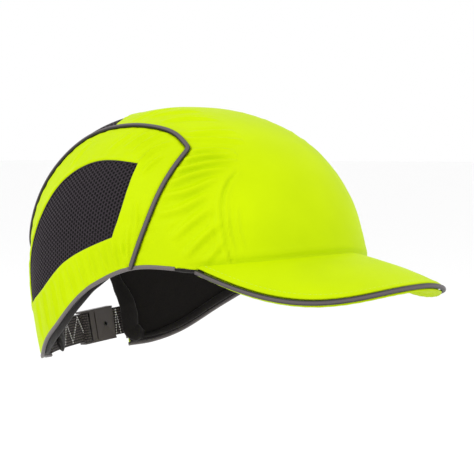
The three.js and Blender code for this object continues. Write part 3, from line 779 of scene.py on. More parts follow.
# Folds of the crown cover, drawn on the left: they fan out of the piping towards the dart,
# run across the top behind the piping's corner, and lie along the front of the brim.
CROWN_FOLDS = [
    ([(53, -50, 69), (45, -60, 69), (37, -68, 67)], 2.2, 0.75),
    ([(58, -49, 65), (48, -60, 66), (38, -70, 65)], 2.3, 0.85),
    ([(63, -47, 59), (53, -59, 61), (40, -71, 62)], 2.4, 0.95),
    ([(68, -46, 53), (57, -59, 57), (46, -69, 58)], 2.5, 0.9),
    ([(72, -43, 46), (64, -57, 48), (53, -67, 53)], 2.7, 0.75),
    ([(76, -41, 37), (70, -54, 39), (60, -66, 46)], 2.8, 0.6),
    ([(75, -50, 23), (68, -59, 31), (60, -68, 38)], 3.0, 0.7),
    ([(73, -56, 13), (67, -64, 22), (60, -71, 29)], 2.8, 0.7),
    ([(68, -65, 9), (64, -70, 15), (61, -73, 20)], 2.4, 0.45),
    ([(50, -44, 78), (40, -57, 76), (28, -67, 73)], 2.2, 0.55),
    ([(46, -42, 81), (36, -52, 80), (25, -60, 79)], 2.2, 0.45),
    ([(43, -22, 89), (34, -32, 90), (22, -46, 87)], 2.4, 0.5),
    ([(40, -10, 93), (31, -19, 95), (18, -32, 94)], 2.4, 0.45),
    ([(45, 0, 92), (33, -6, 97), (18, -12, 99)], 2.6, 0.35),
    ([(56, -76, 12), (57, -74, 24), (55, -73, 36)], 1.3, 0.35),
    ([(52, -79, 12), (53, -77, 25), (51, -76, 37)], 1.4, 0.3),
    ([(63, -71, 12), (64, -68, 25), (62, -67, 36)], 1.4, 0.3),
]


def crown_wrinkles(points):
    """Soft folds of the crown's fabric between its seams, stronger on the wearer's right."""
    relief = 0.4 * noise(points, 60, 3) + 0.16 * noise(points * np.array([1, 1, 2.2]), 24, 4)
    for line, width, height in CROWN_FOLDS:
        relief += fold(points, mirrored(line), width, height)
        relief += fold(points, line, width * 1.1, height * 0.25)
    return relief


def dart_relief(points, dart):
    """A stitched dart, which ends in a small pull of the cloth."""
    gap, along = distance_to(points, dart)
    length = line_length(dart)
    strong = np.clip((length - along) / 12, 0, 1) ** 0.5
    pull = bump_line(along - 0.72 * length, 7, 1)
    groove = bump_line(gap, 0.7, -1.1) + bump_line(gap - 2.0, 1.3, 0.6)
    return strong * groove + pull * bump_line(gap, 0.9, -1.4)


def rear_seam(count):
    """The seam across the top, between the front cover and the rear mesh."""
    end = FRONT_SEAM[-1]
    return on_crown([mirrored(end), (0, REAR_SEAM_BACK, 104), end], count)


def fitted_cover(name, base, relief, thickness, centre, place, ring=False):
    """A cover on the crown: its relief outside, and an inside that only follows the dips."""
    relief = relief.clip(-DEEPEST_FOLD)[..., None]
    base, normal = place(base), place(normals_at(base))
    inner = base + normal * (np.minimum(relief, 0) - thickness)
    return thick_piece(name, base + normal * relief, inner, cloth_uv(base, centre), ring=ring)


def front_cover():
    rows, columns = 150, 220
    left = spaced(FRONT_SEAM, rows)
    right = mirrored(left)
    bottom = lower_edge(-SEAM_FOOT_TURN, SEAM_FOOT_TURN, columns, EDGE_LIFT)
    top = rear_seam(columns)
    left[0], right[0] = bottom[-1], bottom[0]
    base = snap(spanned(bottom, top, right, left))
    relief = crown_wrinkles(base)
    relief += seam_relief(base, FRONT_SEAM, seed=1) + seam_relief(base, mirrored(FRONT_SEAM), seed=2)
    relief += seam_relief(base, top, depth=0.9, puff=0.3, seed=3)
    relief += dart_relief(base, DART_LINE) + dart_relief(base, mirrored(DART_LINE))
    above_peak = base[..., 2] - SEAM_HEIGHT
    front = np.clip((-base[..., 1] - 52) / 12, 0, 1)
    relief += front * (bump_line(above_peak - 0.2, 1.0, -0.5) + bump_line(above_peak - 3.5, 2.4, 0.25))
    obj = fitted_cover("crown_cover_front", base, relief, FRONT_CLOTH, (0, -40, 90), same)
    finish_piece(obj, "hi_vis_fabric", ["front_crown_panel"])


# ------------------------------------------------------------------ side covers

def window_line():
    """The outline of the mesh window in the left side."""
    lines = ((WINDOW_FRONT, 60), (WINDOW_TOP, 130), (WINDOW_REAR, 40), (WINDOW_BOTTOM, 120))
    return np.vstack([on_crown(points, count)[:-1] for points, count in lines])


def side_outline():
    """The outline of the left side, with as many points as the window's."""
    front = spaced(on_crown(PIPING_FRONT, 80), 60)
    top = spaced(joined(on_crown(PIPING_TOP, 80), REAR_PIPING), 130)
    rear = spaced(arch_line(0, ARCH_JOINT, 60)[::-1], 40)
    bottom = lower_edge(157, SEAM_FOOT_TURN, 120, EDGE_LIFT)
    top[-1] = rear[0]
    bottom[0] = rear[-1]
    front[0] = bottom[-1]
    return np.vstack([line[:-1] for line in (front, top, rear, bottom)])


# Folds of the side covers, drawn on the left: pleats below the window, and folds above it.
SIDE_FOLDS = [
    ([(82, -20, 24), (83, -22, 16), (83, -23, 10)], 1.5, 0.45),
    ([(83, -15, 26), (84, -16, 18), (84, -18, 10)], 1.6, 0.6),
    ([(84, -7, 25), (85, -9, 17), (85, -12, 8)], 1.7, 0.6),
    ([(84, 2, 23), (85, 0, 15), (85, -4, 6)], 1.7, 0.6),
    ([(84, 11, 20), (85, 8, 12), (85, 5, 4)], 1.8, 0.55),
    ([(84, 20, 16), (85, 17, 8), (84, 14, 0)], 1.8, 0.5),
    ([(82, 29, 13), (83, 27, 4), (82, 24, -4)], 1.9, 0.45),
    ([(80, 39, 8), (80, 36, 0), (80, 34, -9)], 2.0, 0.45),
    ([(76, 50, 3), (76, 47, -6), (75, 44, -14)], 2.0, 0.4),
    ([(70, 61, -1), (70, 59, -10), (69, 56, -18)], 2.0, 0.35),
    ([(64, -18, 73), (56, -25, 79), (50, -31, 82)], 1.9, 0.55),
    ([(67, -25, 66), (61, -30, 73), (54, -38, 76)], 1.9, 0.6),
    ([(70, -28, 59), (66, -32, 64), (61, -38, 69)], 2.0, 0.5),
    ([(62, -11, 76), (57, -17, 81), (51, -21, 84)], 1.9, 0.45),
    ([(62, 0, 76), (57, -6, 81), (52, -10, 85)], 2.0, 0.35),
    ([(80, -25, 33), (82, -25, 23), (83, -24, 14)], 1.7, 0.35),
    ([(76, -28, 46), (78, -30, 38), (80, -30, 29)], 1.7, 0.35),
    ([(63, 30, 70), (58, 26, 77), (52, 22, 84)], 2.4, 0.3),
]


def side_covers():
    for side, place in SIDES:
        side_cover(side, place)


def side_cover(side, place):
    window = window_line()
    share = np.linspace(0, 1, 35)[:, None, None]
    base = snap(side_outline()[None] * (1 - share) + window[None] * share)
    relief = 0.3 * noise(base, 48, 8) + 0.12 * noise(base * np.array([1, 1, 2.0]), 20, 9)
    relief += seam_relief(base, PIPING_LINE, seed=5)
    gap, along = distance_to(base, closed(window))
    wave = ripple(along, 11.0) + 0.5 * ripple(along, 6.1, 1)
    relief += bump_line(gap - 1.2, 1.6, 0.5) + bump_line(gap - 3.5, 3.2, 0.14 * wave)
    relief += bump_line(gap, 0.5, -0.2)
    for line, width, height in SIDE_FOLDS:
        relief += fold(base, line, width, height)
    centre = place(np.array([84.0, 10.0, 30.0]))
    obj = fitted_cover(f"side_cover_{side}", base, relief, SIDE_CLOTH, centre, place, ring=True)
    finish_piece(obj, "hi_vis_fabric", [f"side_panel_{side}"])


# ------------------------------------------------------------------ mesh fabric

MESH_PITCH = 2.5
MESH_DEPTH = 0.85                  # how far the mesh lies below the crown's surface
MESH_THICKNESS = 0.6
HOLE_SIDES = 12


def inside_outline(uv, outline):
    """Whether flat points lie inside a flat closed outline."""
    x, y = uv[:, 0][:, None], uv[:, 1][:, None]
    x0, y0 = outline[:, 0][None], outline[:, 1][None]
    x1, y1 = np.roll(outline[:, 0], -1)[None], np.roll(outline[:, 1], -1)[None]
    crosses = (y0 > y) != (y1 > y)
    at = (x1 - x0) * (y - y0) / np.where(y1 == y0, 1e-9, y1 - y0) + x0
    return (crosses & (x < at)).sum(1) % 2 == 1


def grown(outline, amount):
    """A flat closed outline pushed outward."""
    ahead = np.roll(outline, -1, 0)
    step = ahead - np.roll(outline, 1, 0)
    normal = np.stack([step[:, 1], -step[:, 0]], -1)
    normal /= np.maximum(np.linalg.norm(normal, axis=1, keepdims=True), 1e-9)
    area = (outline[:, 0] * ahead[:, 1] - ahead[:, 0] * outline[:, 1]).sum()
    return outline + normal * amount * np.sign(area)


def hole_centres(border):
    """A staggered field of points inside a flat outline."""
    low, high = border.min(0) - MESH_PITCH, border.max(0) + MESH_PITCH
    row_step = MESH_PITCH * math.sqrt(3) / 2
    columns = []
    for i in range(int((high[0] - low[0]) / row_step) + 1):
        ys = np.arange(low[1] + 0.5 * MESH_PITCH * (i % 2), high[1], MESH_PITCH)
        columns.append(np.stack([np.full_like(ys, low[0] + i * row_step), ys], -1))
    centres = np.vstack(columns)
    return centres[inside_outline(centres, border)]


def hole_rings():
    """The rings of one six-sided tile with a round hole, each with its height and how much painted shade it
    has.

    They run from the tile's border over the hole's lip, down the hole and back along the underside.
    """
    turn = np.arange(HOLE_SIDES) * 2 * math.pi / HOLE_SIDES
    circle = np.stack([np.cos(turn), np.sin(turn)], -1)
    corner = MESH_PITCH / math.sqrt(3)
    reach = np.where(np.arange(HOLE_SIDES) % 2 == 0, corner, corner * math.cos(math.pi / 6))
    tile = circle * reach[:, None]
    circle = circle * MESH_PITCH
    # the third value is painted shade: half on the lip, full down the hole and on its closed bottom, which
    # stands for the black lining in shade behind
    return [(tile, 0.0, 0.0), (circle * 0.45, 0.2, 0.0), (circle * 0.38, 0.12, 0.5),
            (circle * 0.35, -0.3, 1.0), (circle * 0.004, -0.42, 1.0),
            (circle * 0.004, -MESH_THICKNESS, 0.0), (tile, -MESH_THICKNESS, 0.0)]


def open_edges(centres, ring_count):
    """Walls that close the cloth's border, where a tile has no neighbour."""
    per_tile = ring_count * HOLE_SIDES
    known = {(round(x * 20), round(y * 20)) for x, y in centres}
    near = {(x + dx, y + dy) for x, y in known for dx in (-1, 0, 1) for dy in (-1, 0, 1)}
    walls = []
    for index, (x, y) in enumerate(centres):
        first = index * per_tile
        last = first + per_tile - HOLE_SIDES
        for side in range(1, HOLE_SIDES, 2):
            angle = side * 2 * math.pi / HOLE_SIDES
            there = (x + MESH_PITCH * math.cos(angle), y + MESH_PITCH * math.sin(angle))
            if (round(there[0] * 20), round(there[1] * 20)) in near:
                continue
            for a, b in ((side - 1, side), (side, (side + 1) % HOLE_SIDES)):
                walls.append([first + b, first + a, last + a, last + b])
    return walls


def knitted(name, outline, centre, nodes, place=same, grow=2.2):
    """Knitted mesh: a staggered field of round holes, each with a rounded lip, laid on the crown."""
    centres = hole_centres(grown(cloth_uv(outline, centre), grow))
    rings = hole_rings()
    flat_points = np.concatenate([centres[:, None] + ring[None] for ring, _, _ in rings], 1)
    heights = np.repeat([height for _, height, _ in rings], HOLE_SIDES)
    base = snap(from_cloth_uv(flat_points, centre))
    points = place(base + normals_at(base) * (heights - MESH_DEPTH)[None, :, None])

    tile = np.array(grid_quads(len(rings), HOLE_SIDES, 0, ring=True))
    starts = np.arange(len(centres))[:, None, None] * len(heights)
    faces = (starts + tile[None]).reshape(-1, 4).tolist() + open_edges(centres, len(rings))
    # painted shade for every point, dark in the holes
    tint = np.tile(np.repeat([tint for _, _, tint in rings], HOLE_SIDES), len(centres))
    obj = make_object(name, world(points.reshape(-1, 3)), faces, flat_points.reshape(-1, 2), tint=tint)
    recalculated(obj)
    finish_piece(obj, "mesh_fabric", nodes)


def mesh_inserts():
    window = window_line()
    for side, place in SIDES:
        knitted(f"knitted_insert_{side}", window, (80.0, 25.0, 32.0), [f"mesh_insert_{side}"],
                place)
    # A thin dark cord of the mesh's yarn round each window: the cover's folded edge, and the shade along that
    # fold painted as a dark line.
    section = round_section(0.55, 0.35, 0, -0.55, 10)
    side_sweeps("window_edge", window, (section, section), "mesh_fabric", loop=True)


def rear_mesh():
    arch = arch_line(ARCH_JOINT, 1, 40)[1:]
    left = np.vstack([REAR_PIPING[1:], arch])
    outline = np.vstack([rear_seam(60), left, mirrored(left)[::-1][1:]])
    knitted("knitted_rear", outline, (0, 75, 70), ["rear_mesh_panel"], grow=0.6)


# ------------------------------------------------------------------ trims

def side_piping():
    """Reflective tape round a cord, with painted shade on its two shoulders and on its underside; it turns a
    rounded corner.
    """
    line = spaced(PIPING_LINE, 260)
    weight = np.exp(-0.5 * (np.arange(-5, 6) / 1.6) ** 2)
    weight /= weight.sum()
    inside = np.stack([np.convolve(line[:, i], weight, "valid") for i in range(3)], -1)
    line[5:-5] = snap(inside)
    line[0] = crown_at(SEAM_FOOT_TURN, edge_height(SEAM_FOOT_TURN) + 0.4)

    half, middle = 1.35, 0.75
    section = round_section(half, 1.05, 0, middle, 20, 2.3)
    foot = section[:, 1] < 0.0
    section[foot, 0] *= 0.5
    section[foot, 1] -= 0.3
    # painted shade: dark on the tape's shoulders and on the part below the cord's middle
    dark = np.clip((np.abs(section[:, 0]) / half - 0.62) / 0.14, 0, 1)
    dark[section[:, 1] < middle] = 1
    side_sweeps("side_piping", line, (section, section), "reflective_trim", "panel_piping", tint=dark)


def edge_tapes():
    """Tape along the lower edge of each side; its middle lies a little below the edge."""
    line = lower_edge(PEAK_SEAM_TURN + 6.5, 156.5, 220, EDGE_LIFT)
    sections = [round_section(1.1, 0.95, across, -0.35, 18, 2.8) for across in (0.5, -0.5)]
    side_sweeps("edge_tape", line, sections, "edge_binding", "lower_binding")


def corner_tucks():
    """The dark tuck of cloth between the edge tape and the peak."""
    line = lower_edge(PEAK_SEAM_TURN - 3, PEAK_SEAM_TURN + 8, 40, -0.5)
    size = 0.35 + 0.65 * np.sin(np.linspace(0, math.pi, len(line))) ** 0.5
    section = round_section(1.3, 1.3, 0.0, -1.1, 14, 2.2)[None] * size[:, None, None]
    side_sweeps("corner_tuck", line, (section, section), "lining_fabric")


def arch_tape():
    half = arch_line(0.0, 1, 90)
    line = joined(half, mirrored(half)[::-1])
    obj = sweep("edge_tape_arch", line, round_section(1.2, 0.95, 0.2, -0.35, 18, 2.8), normals_at(line))
    finish_piece(obj, "edge_binding", ["arch_binding"])


# ------------------------------------------------------------------ peak

def peak_edge(share):
    """The peak's edge, from its right end, -1, to its left end, 1."""
    turn = np.asarray(share, float) * math.pi / 2
    forward = PEAK_REACH * np.cos(turn).clip(0) ** (2 / PEAK_POWER)
    x = PEAK_HALF_WIDTH * signed_power(np.sin(turn), 2 / PEAK_POWER)
    arch = PEAK_ARCH * np.cos(turn).clip(0) ** PEAK_ARCH_POWER
    return np.stack([x, PEAK_ROOT_Y - forward, SEAM_HEIGHT - PEAK_SLOPE * forward + arch], -1)


def even_shares(span, count):
    """Shares that space the peak's edge evenly."""
    share = np.linspace(-span, span, 2001)
    travelled = travel(peak_edge(share))
    return np.interp(np.linspace(0, travelled[-1], count + 1), travelled, share)


def peak_grid(shares, rows, inset, first=0.0):
    """Rows from the root to inset short of the edge, on the peak's top surface, and their shares."""
    edge = peak_edge(shares)
    root = crown_at(shares * PEAK_SEAM_TURN, SEAM_HEIGHT)
    ahead = peak_edge(shares + 0.004) - peak_edge(shares - 0.004)
    ahead[:, 2] = 0
    ahead = unit(ahead)
    run = edge - root
    square = np.abs(ahead[:, 0] * run[:, 1] - ahead[:, 1] * run[:, 0])
    reach = np.maximum(0.2, 1 - inset / square)
    v = first + (1 - first) * np.linspace(0, 1, rows + 1)[:, None] * reach[None]
    length = np.linalg.norm(run, axis=1)
    grid = root[None] + v[..., None] * run[None]
    fuller = 1 + 0.8 * ease(grid[..., 0], 15, 50)
    grid[..., 2] += PEAK_BULGE * fuller * np.sin(math.pi * v) * np.minimum(1, length / 45)
    return grid, v


def grid_normals(grid):
    """Normals of a grid of points, turned upward."""
    n = np.cross(np.gradient(grid, axis=1), np.gradient(grid, axis=0))
    n /= np.maximum(np.linalg.norm(n, axis=-1, keepdims=True), 1e-9)
    return n * np.sign(n[..., 2:] + 1e-9)


def peak_layer(name, grid, over, under):
    """A closed piece between two depths below the peak's top surface."""
    normal = grid_normals(grid)
    depths = [np.broadcast_to(depth, grid.shape[:2])[..., None] for depth in (over, under)]
    return thick_piece(name, grid - normal * depths[0], grid - normal * depths[1], grid[..., :2])


def peak_top():
    grid, v = peak_grid(even_shares(0.985, 240), 70, 0.9)
    gap, _ = distance_to(grid, peak_edge(even_shares(PEAK_SPAN, 200)))
    relief = 0.18 * noise(grid, 46, 12) + 0.08 * noise(grid, 18, 13)
    relief += bump_line(gap, 1.2, -0.7) + bump_line(gap - 3.2, 1.8, 0.2)
    relief += bump_line(v * 45, 1.2, -0.8)
    obj = peak_layer("peak_cover_top", grid, -relief, PEAK_CLOTH)
    finish_piece(obj, "hi_vis_fabric", ["peak_top_cover"])


def peak_stiffener():
    board, _ = peak_grid(even_shares(0.93, 120), 40, 3.0, first=0.06)
    finish_piece(peak_layer("peak_stiffener", board, *PEAK_BOARD), "peak_board", ["peak_board"])


def peak_under():
    grid, _ = peak_grid(even_shares(0.985, 240), 60, -0.5)
    gap, along = distance_to(grid, peak_edge(even_shares(PEAK_SPAN, 200)))
    lip = bump_line(gap, 1.5, 1)
    relief = 0.15 * noise(grid, 40, 15) + bump_line(gap - 2.6, 0.8, -0.35)
    relief += bump_line(gap - 3, 3, 0.12 * ripple(along, 7))
    inside, outside = PEAK_UNDER
    obj = peak_layer("peak_cover_under", grid, outside + relief - 0.35 * lip, inside - 0.3 * lip)
    finish_piece(obj, "hi_vis_fabric", ["peak_under_cover"])


def peak_piping():
    """A cord in reflective tape round the peak's edge, with painted shade at its top, bottom and back."""
    line = peak_edge(even_shares(0.985, 220))
    outward = np.tile([0.0, 0.0, 1.0], (len(line), 1))
    half_height, middle = 1.25, -1.35
    section = round_section(1.2, half_height, -0.15, middle, 24, 2.2)
    # painted shade: dark at the cord's top and bottom and on its back, towards the peak
    dark = np.clip((np.abs(section[:, 1] - middle) / half_height - 0.5) / 0.14, 0, 1)
    dark[section[:, 0] < -0.6] = 1
    obj = sweep("peak_edge_piping", line, section, outward, tint=dark)
    finish_piece(obj, "reflective_trim", ["peak_piping"])


def peak_thread():
    grid, _ = peak_grid(even_shares(0.94, 220), 8, 3.2)
    normals = grid_normals(grid)[-1]
    stitch_run("peak_stitches", grid[-1], normals, PEAK_STITCH, "hi_vis_fabric", YELLOW_THREAD)


# ------------------------------------------------------------------ shell and pads

PAD_DEPTH = 4.7                    # from the crown's surface to the outside of the foam
PAD_THICKNESS = 5.0
PAD_EDGE = 0.1                     # how thick the foam is at its border

# each pad's CAD node, its turns from the front in degrees, and its heights
PADS = [
    ("front_foam", "front_pad", (-30, 30), (38, 66)),
    ("side_foam_left", "side_pad_left", (62, 112), (38, 62)),
    ("side_foam_right", "side_pad_right", (-112, -62), (38, 62)),
    ("rear_foam", "rear_pad", (160, 200), (60, 80)),
]


def crown_rows(turns, low, high, rows):
    """Rows of crown points between two heights at each turn."""
    share = np.linspace(0, 1, rows + 1)[:, None]
    return crown_at(turns[None], low + (high - low) * share)


def border_gap(base):
    """Distance from each point of a grid to the grid's border, and how far along the border."""
    border = np.vstack([base[0], base[:, -1], base[-1][::-1], base[:, 0][::-1]])
    return distance_to(base, border)


def foam_piece(name, node, base, gap, centre, lumps=0.0, ring=False):
    """Foam under the shell: full in the middle, pulled in near its border."""
    normal = normals_at(base)
    full = 1 - np.exp(-(gap / 1.6) ** 1.4)
    depth = PAD_DEPTH + PAD_EDGE + (PAD_THICKNESS - PAD_EDGE) * full + lumps
    inner = base - normal * depth[..., None]
    obj = thick_piece(name, base - normal * PAD_DEPTH, inner, cloth_uv(base, centre), ring=ring)
    finish_piece(obj, "foam", [node])


def crown_foam():
    turn = np.linspace(0, 2 * math.pi, 72, endpoint=False)
    rim = np.stack([30 * np.cos(turn), 8 + 36 * np.sin(turn), np.full(72, 95.0)], -1)
    share = np.linspace(0, 0.985, 26)[:, None, None]
    base = snap(rim[None] * (1 - share) + np.array([0, 8.0, 97.0]) * share)
    gap = np.linalg.norm(base - base[0][None], axis=-1)
    foam_piece("crown_foam", "crown_pad", base, gap, (0, 8, 100), ring=True)


def shell_and_pads():
    for node, slot in (("hard_shell", "shell_plastic"), ("buckle_pin", "pin_steel")):
        frame["nodes"][node].data.materials.clear()
        frame["nodes"][node].data.materials.append(MATERIALS[slot])
    for name, node, turns, heights in PADS:
        base = crown_rows(np.linspace(*turns, 60), *heights, 30)
        gap, _ = border_gap(base)
        foam_piece(name, node, base, gap, base[15, 30], 0.12 * noise(base, 22, 20))
    crown_foam()


# ------------------------------------------------------------------ linings

# how far above the edge the left and the right lining end, and their hems, from front to rear
LINING_LIFTS = ((-0.1, -0.1, 0.1, 0.4), (0.8, -1.2, -1.2, 0.6))
HEM_LIFTS = ((3.2, 3.6, 3.6, 3.4, 3.2), (0.6, -2.1, -1.6, 2.0, 2.4))


def flap_lining(side, place, lifts):
    """The lining of one side, which ends at lifts above the side's edge."""
    reach = 0.46                   # how far up the arch the lining is sewn in
    rear = arch_line(0, reach, 60)
    turn = np.linspace(57, 156.5, 151)
    lift = np.interp(turn, [75, 100, 120, 134], lifts)
    low = spaced(crown_at(turn, edge_height(turn) + lift), 150)
    low[-1] = rear[0]
    front = crown_at(57, np.linspace(low[0][2], 33, 61))
    share = np.linspace(0, 1, 151)[:, None]
    bow = [38, 10, 6]              # carries the upper border round the crown, not straight across
    high = front[-1] * (1 - share) + rear[-1] * share + np.sin(share * math.pi) * bow
    base = snap(spanned(low, high, front, rear))
    gap, _ = distance_to(base, base[0])
    relief = 0.3 * noise(base, 34, 31) + 0.14 * noise(base, 12, 32) + bump_line(gap - 2.0, 2.0, -0.5)
    base, normal = place(base), place(normals_at(base))
    inner = base + normal * (relief - LINING[1])[..., None]
    uv = cloth_uv(base, place(np.array([84.0, 10, 0])))
    obj = thick_piece(f"flap_lining_{side}", base - normal * LINING[0], inner, uv)
    finish_piece(obj, "lining_fabric", [f"side_lining_{side}"])


def roll(name, side, place, centre, half_across, half_out, depth):
    """A soft roll of lining cloth along a line of the crown, at varying size and depth."""
    share = np.linspace(0, 1, len(centre))
    puff = (1 + 0.03 * np.sin(share * 40) + 0.02 * np.sin(share * 67 + 1))[:, None]
    around = np.linspace(0, 2 * math.pi, 22)[None, :-1]
    across = half_across[:, None] * puff * np.cos(around)
    out = half_out[:, None] * puff * np.sin(around) - depth[:, None]
    obj = sweep(f"{name}_{side}", place(centre), np.stack([across, out], -1), place(normals_at(centre)))
    finish_piece(obj, "lining_fabric")


def lining_hem(side, place, lifts):
    """A thin roll along the lining's lower edge."""
    turn = np.linspace(84, 152, 160)
    lift = np.interp(turn, [84, 98, 120, 134, 152], lifts)
    edge = spaced(crown_at(turn, edge_height(turn) + lift), 160)
    size = 0.2 + 0.8 * np.sin(math.pi * np.linspace(0, 1, 161)) ** 0.5
    roll("lining_hem", side, place, edge, 2.3 * size, 1.3 * size, np.full(161, 3.2))


def arch_hem(side, place):
    """A thick roll down the arch, which is thinner and closer to the tape at the arch's top."""
    arch = arch_line(0.0, 1, 200)
    into = unit(np.cross(np.gradient(arch, axis=0), normals_at(arch)))
    into *= np.where(np.sum(into * [-1, 0, -0.5], axis=-1) < 0, -1, 1)[:, None]
    low = ease(-arch[:, 2], -10, 12)
    high = ease(np.linspace(0, 1, len(arch)), 0.6, 0.85)
    line = snap(arch + into * (3.4 * (1 - low) * (1 - 0.8 * high))[:, None])
    line = spaced(smooth_curve([crown_at(151, -31.5), *line[8::16]], 200), 200)
    share = np.linspace(0, 1, 201)
    low = ease(-line[:, 2], -10, 12)
    high = ease(share, 0.6, 0.85)
    tip = np.clip(share / 0.04, 0.25, 1) ** 0.5
    across = (3.6 + 1.8 * low) * (1 - high) + 1.5 * high
    roll("arch_hem", side, place, line, across * tip, (1.4 + 0.4 * low) * tip, 3.0 + 6.1 * low)


def sweatband():
    turn = np.linspace(-58, 58, 160)
    base = crown_rows(turn, edge_height(turn) + 0.8, 27.0, 40)
    normal = normals_at(base)
    gap, along = border_gap(base)
    full = 1 - np.exp(-(gap / 2.4) ** 1.5)
    depth = SWEATBAND[1] + 2.4 * full + bump_line(gap - 2.5, 2.5, 0.15 * ripple(along, 8.0))
    inner = base - normal * (depth + 0.1 * noise(base, 18, 33))[..., None]
    outer = base - normal * SWEATBAND[0]
    obj = thick_piece("sweatband_pad", outer, inner, cloth_uv(base, (0, -100, 15)))
    finish_piece(obj, "lining_fabric", ["sweatband"])


def linings():
    """The right side's lining sags below its edge, and the left side's leaves the tape in sight."""
    for (side, place), lifts in zip(SIDES, LINING_LIFTS):
        flap_lining(side, place, lifts)
    for (side, place), lifts in zip(SIDES, HEM_LIFTS):
        lining_hem(side, place, lifts)
    for side, place in SIDES:
        arch_hem(side, place)
    sweatband()


# ------------------------------------------------------------------ strap

# the faces of each layer, out from the strap's middle line
WEBBING, TAIL, END_TAB = (-0.7, 0.7), (3.0, 4.4), (1.0, 2.0)
RIBS = 11
RIB_DEPTH, WEAVE_DEPTH = 0.26, 0.07
WEAVE_STEP = 1.7                   # from one small gap in a rib to the next
FOLD_DEPTH = 0.2                   # the ribs' depth where the webbing turns round the loop bar
LOOP_BAR = (-10.9, -1.1)           # the middle of that turn, on the buckle


def strap_point(x, radius, height):
    """A point on the strap's curve: x across the back, and height above its middle line."""
    x, height = np.broadcast_arrays(np.asarray(x, float), np.asarray(height, float))
    angle = np.arcsin(x / STRAP_RADIUS)
    return np.stack([radius * np.sin(angle), STRAP_CENTRE_Y + radius * np.cos(angle), height + 0 * angle], -1)


def hung(p):
    """From the strap's own level frame to the rim frame."""
    c, s = math.cos(STRAP_TILT), math.sin(STRAP_TILT)
    x, y, z = p[..., 0] - STRAP_PIVOT_X, p[..., 1], p[..., 2]
    return np.stack([STRAP_PIVOT_X + x * c - z * s, y, STRAP_Z + x * s + z * c], -1)


def on_buckle(x, y, z):
    """A point given on the buckle: x along the strap, y outward, z up."""
    turn = -math.asin(BUCKLE_X / STRAP_RADIUS)
    x, y, z = np.broadcast_arrays(*(np.asarray(v, float) for v in (x, y, z)))
    across = BUCKLE_X + x * math.cos(turn) - y * math.sin(turn)
    back = STRAP_CENTRE_Y + math.sqrt(STRAP_RADIUS ** 2 - BUCKLE_X ** 2)
    return hung(np.stack([across, back + x * math.sin(turn) + y * math.cos(turn), z], -1))


def woven_tint(along, row, crest):
    """Painted shade: 1 in the grooves between the ribs and in the small gaps along each rib, 0 on the yarn.
    """
    step = np.sin((along / WEAVE_STEP + 0.5 * (np.floor(row) % 2)) * 2 * math.pi)
    groove = ease(-crest, -0.8, -0.35)
    return np.clip(groove + 0.6 * ease(step, 0.1, 0.9), 0, 1)


def ribbed_band(name, start, end, faces, nodes, body="cap", round_end=0.0):
    """Webbing along the strap's curve: ribs run along it, and its edges are rounded."""
    x = np.linspace(start, end, 181)
    across = np.linspace(-1, 1, 12 * RIBS + 1)
    crest = np.abs(np.sin(across * math.pi * RIBS / 2))
    round_edge = np.sqrt(np.clip(1 - ((np.abs(across) - 0.94).clip(0) / 0.06) ** 2, 0, 1))
    half = (faces[1] - faces[0]) / 2
    thick = (half + RIB_DEPTH * crest - RIB_DEPTH) * np.maximum(round_edge, 0.05)
    weave = WEAVE_DEPTH * ripple(x, 1.3)[:, None] * np.cos(across * math.pi * RIBS)[None]
    narrowing = np.ones_like(x)
    if round_end:
        t = np.clip((x - start) / round_end, 0, 1)
        narrowing = 0.6 + 0.4 * np.sqrt(1 - (1 - t) ** 2)
    middle = STRAP_RADIUS + sum(faces) / 2
    flat_heights = across[None] * STRAP_HEIGHT / 2
    heights = flat_heights * narrowing[:, None]
    along = np.broadcast_to(x[:, None], heights.shape)
    outer = hung(strap_point(along, middle + thick[None] + weave, heights))
    inner = hung(strap_point(along, middle - thick[None] - weave, heights))
    uv = np.stack(np.broadcast_arrays(x[:, None], flat_heights), -1)
    tint = woven_tint(x[:, None], across[None] * RIBS / 2, crest[None])
    obj = thick_piece(name, outer, inner, uv, tint=tint)
    finish_piece(obj, "webbing", nodes, body)


def webbing_fold():
    """The near webbing comes back over itself round the buckle's loop bar."""
    turn = np.linspace(0, 2 * math.pi, 33)[:-1]
    half = STRAP_HEIGHT / 2
    heights = np.linspace(-half, half, 133)
    crest = np.abs(np.sin((heights + half) * math.pi * RIBS / STRAP_HEIGHT))
    edge = np.sqrt(np.clip(1 - ((np.abs(heights) - 8.2).clip(0) / 0.55) ** 2, 0, 1))
    shells = []
    outside, inside, middle = 2.85, 1.75, 2.3
    for radius, rib in ((outside, FOLD_DEPTH * (crest - 1)), (inside, 0 * crest)):
        r = (radius + rib - (1 - edge) * (radius - middle))[:, None]
        x, y = LOOP_BAR[0] + r * np.cos(turn), LOOP_BAR[1] + r * np.sin(turn)
        shells.append(on_buckle(x, y, heights[:, None]))
    along = turn[None] * middle
    uv = np.stack(np.broadcast_arrays(along, heights[:, None]), -1)
    tint = woven_tint(along, (heights[:, None] + half) * RIBS / STRAP_HEIGHT, crest[:, None])
    obj = thick_piece("webbing_near_fold", *shells, uv, ring=True, tint=tint)
    finish_piece(obj, "webbing")


def strap_row(name, start, end, out, count=24, body="cap"):
    """A row of white stitches on the strap, between two points given across and up it."""
    x, heights = np.linspace(start, end, count).T
    radius = STRAP_RADIUS + out
    line = strap_point(x, radius, heights)
    outward = strap_point(x, radius + np.sign(out), heights) - line
    normals = hung(outward) - hung(np.zeros(3))
    stitch_run(name, hung(line), normals, STRAP_STITCH, "webbing", WHITE_THREAD, body)


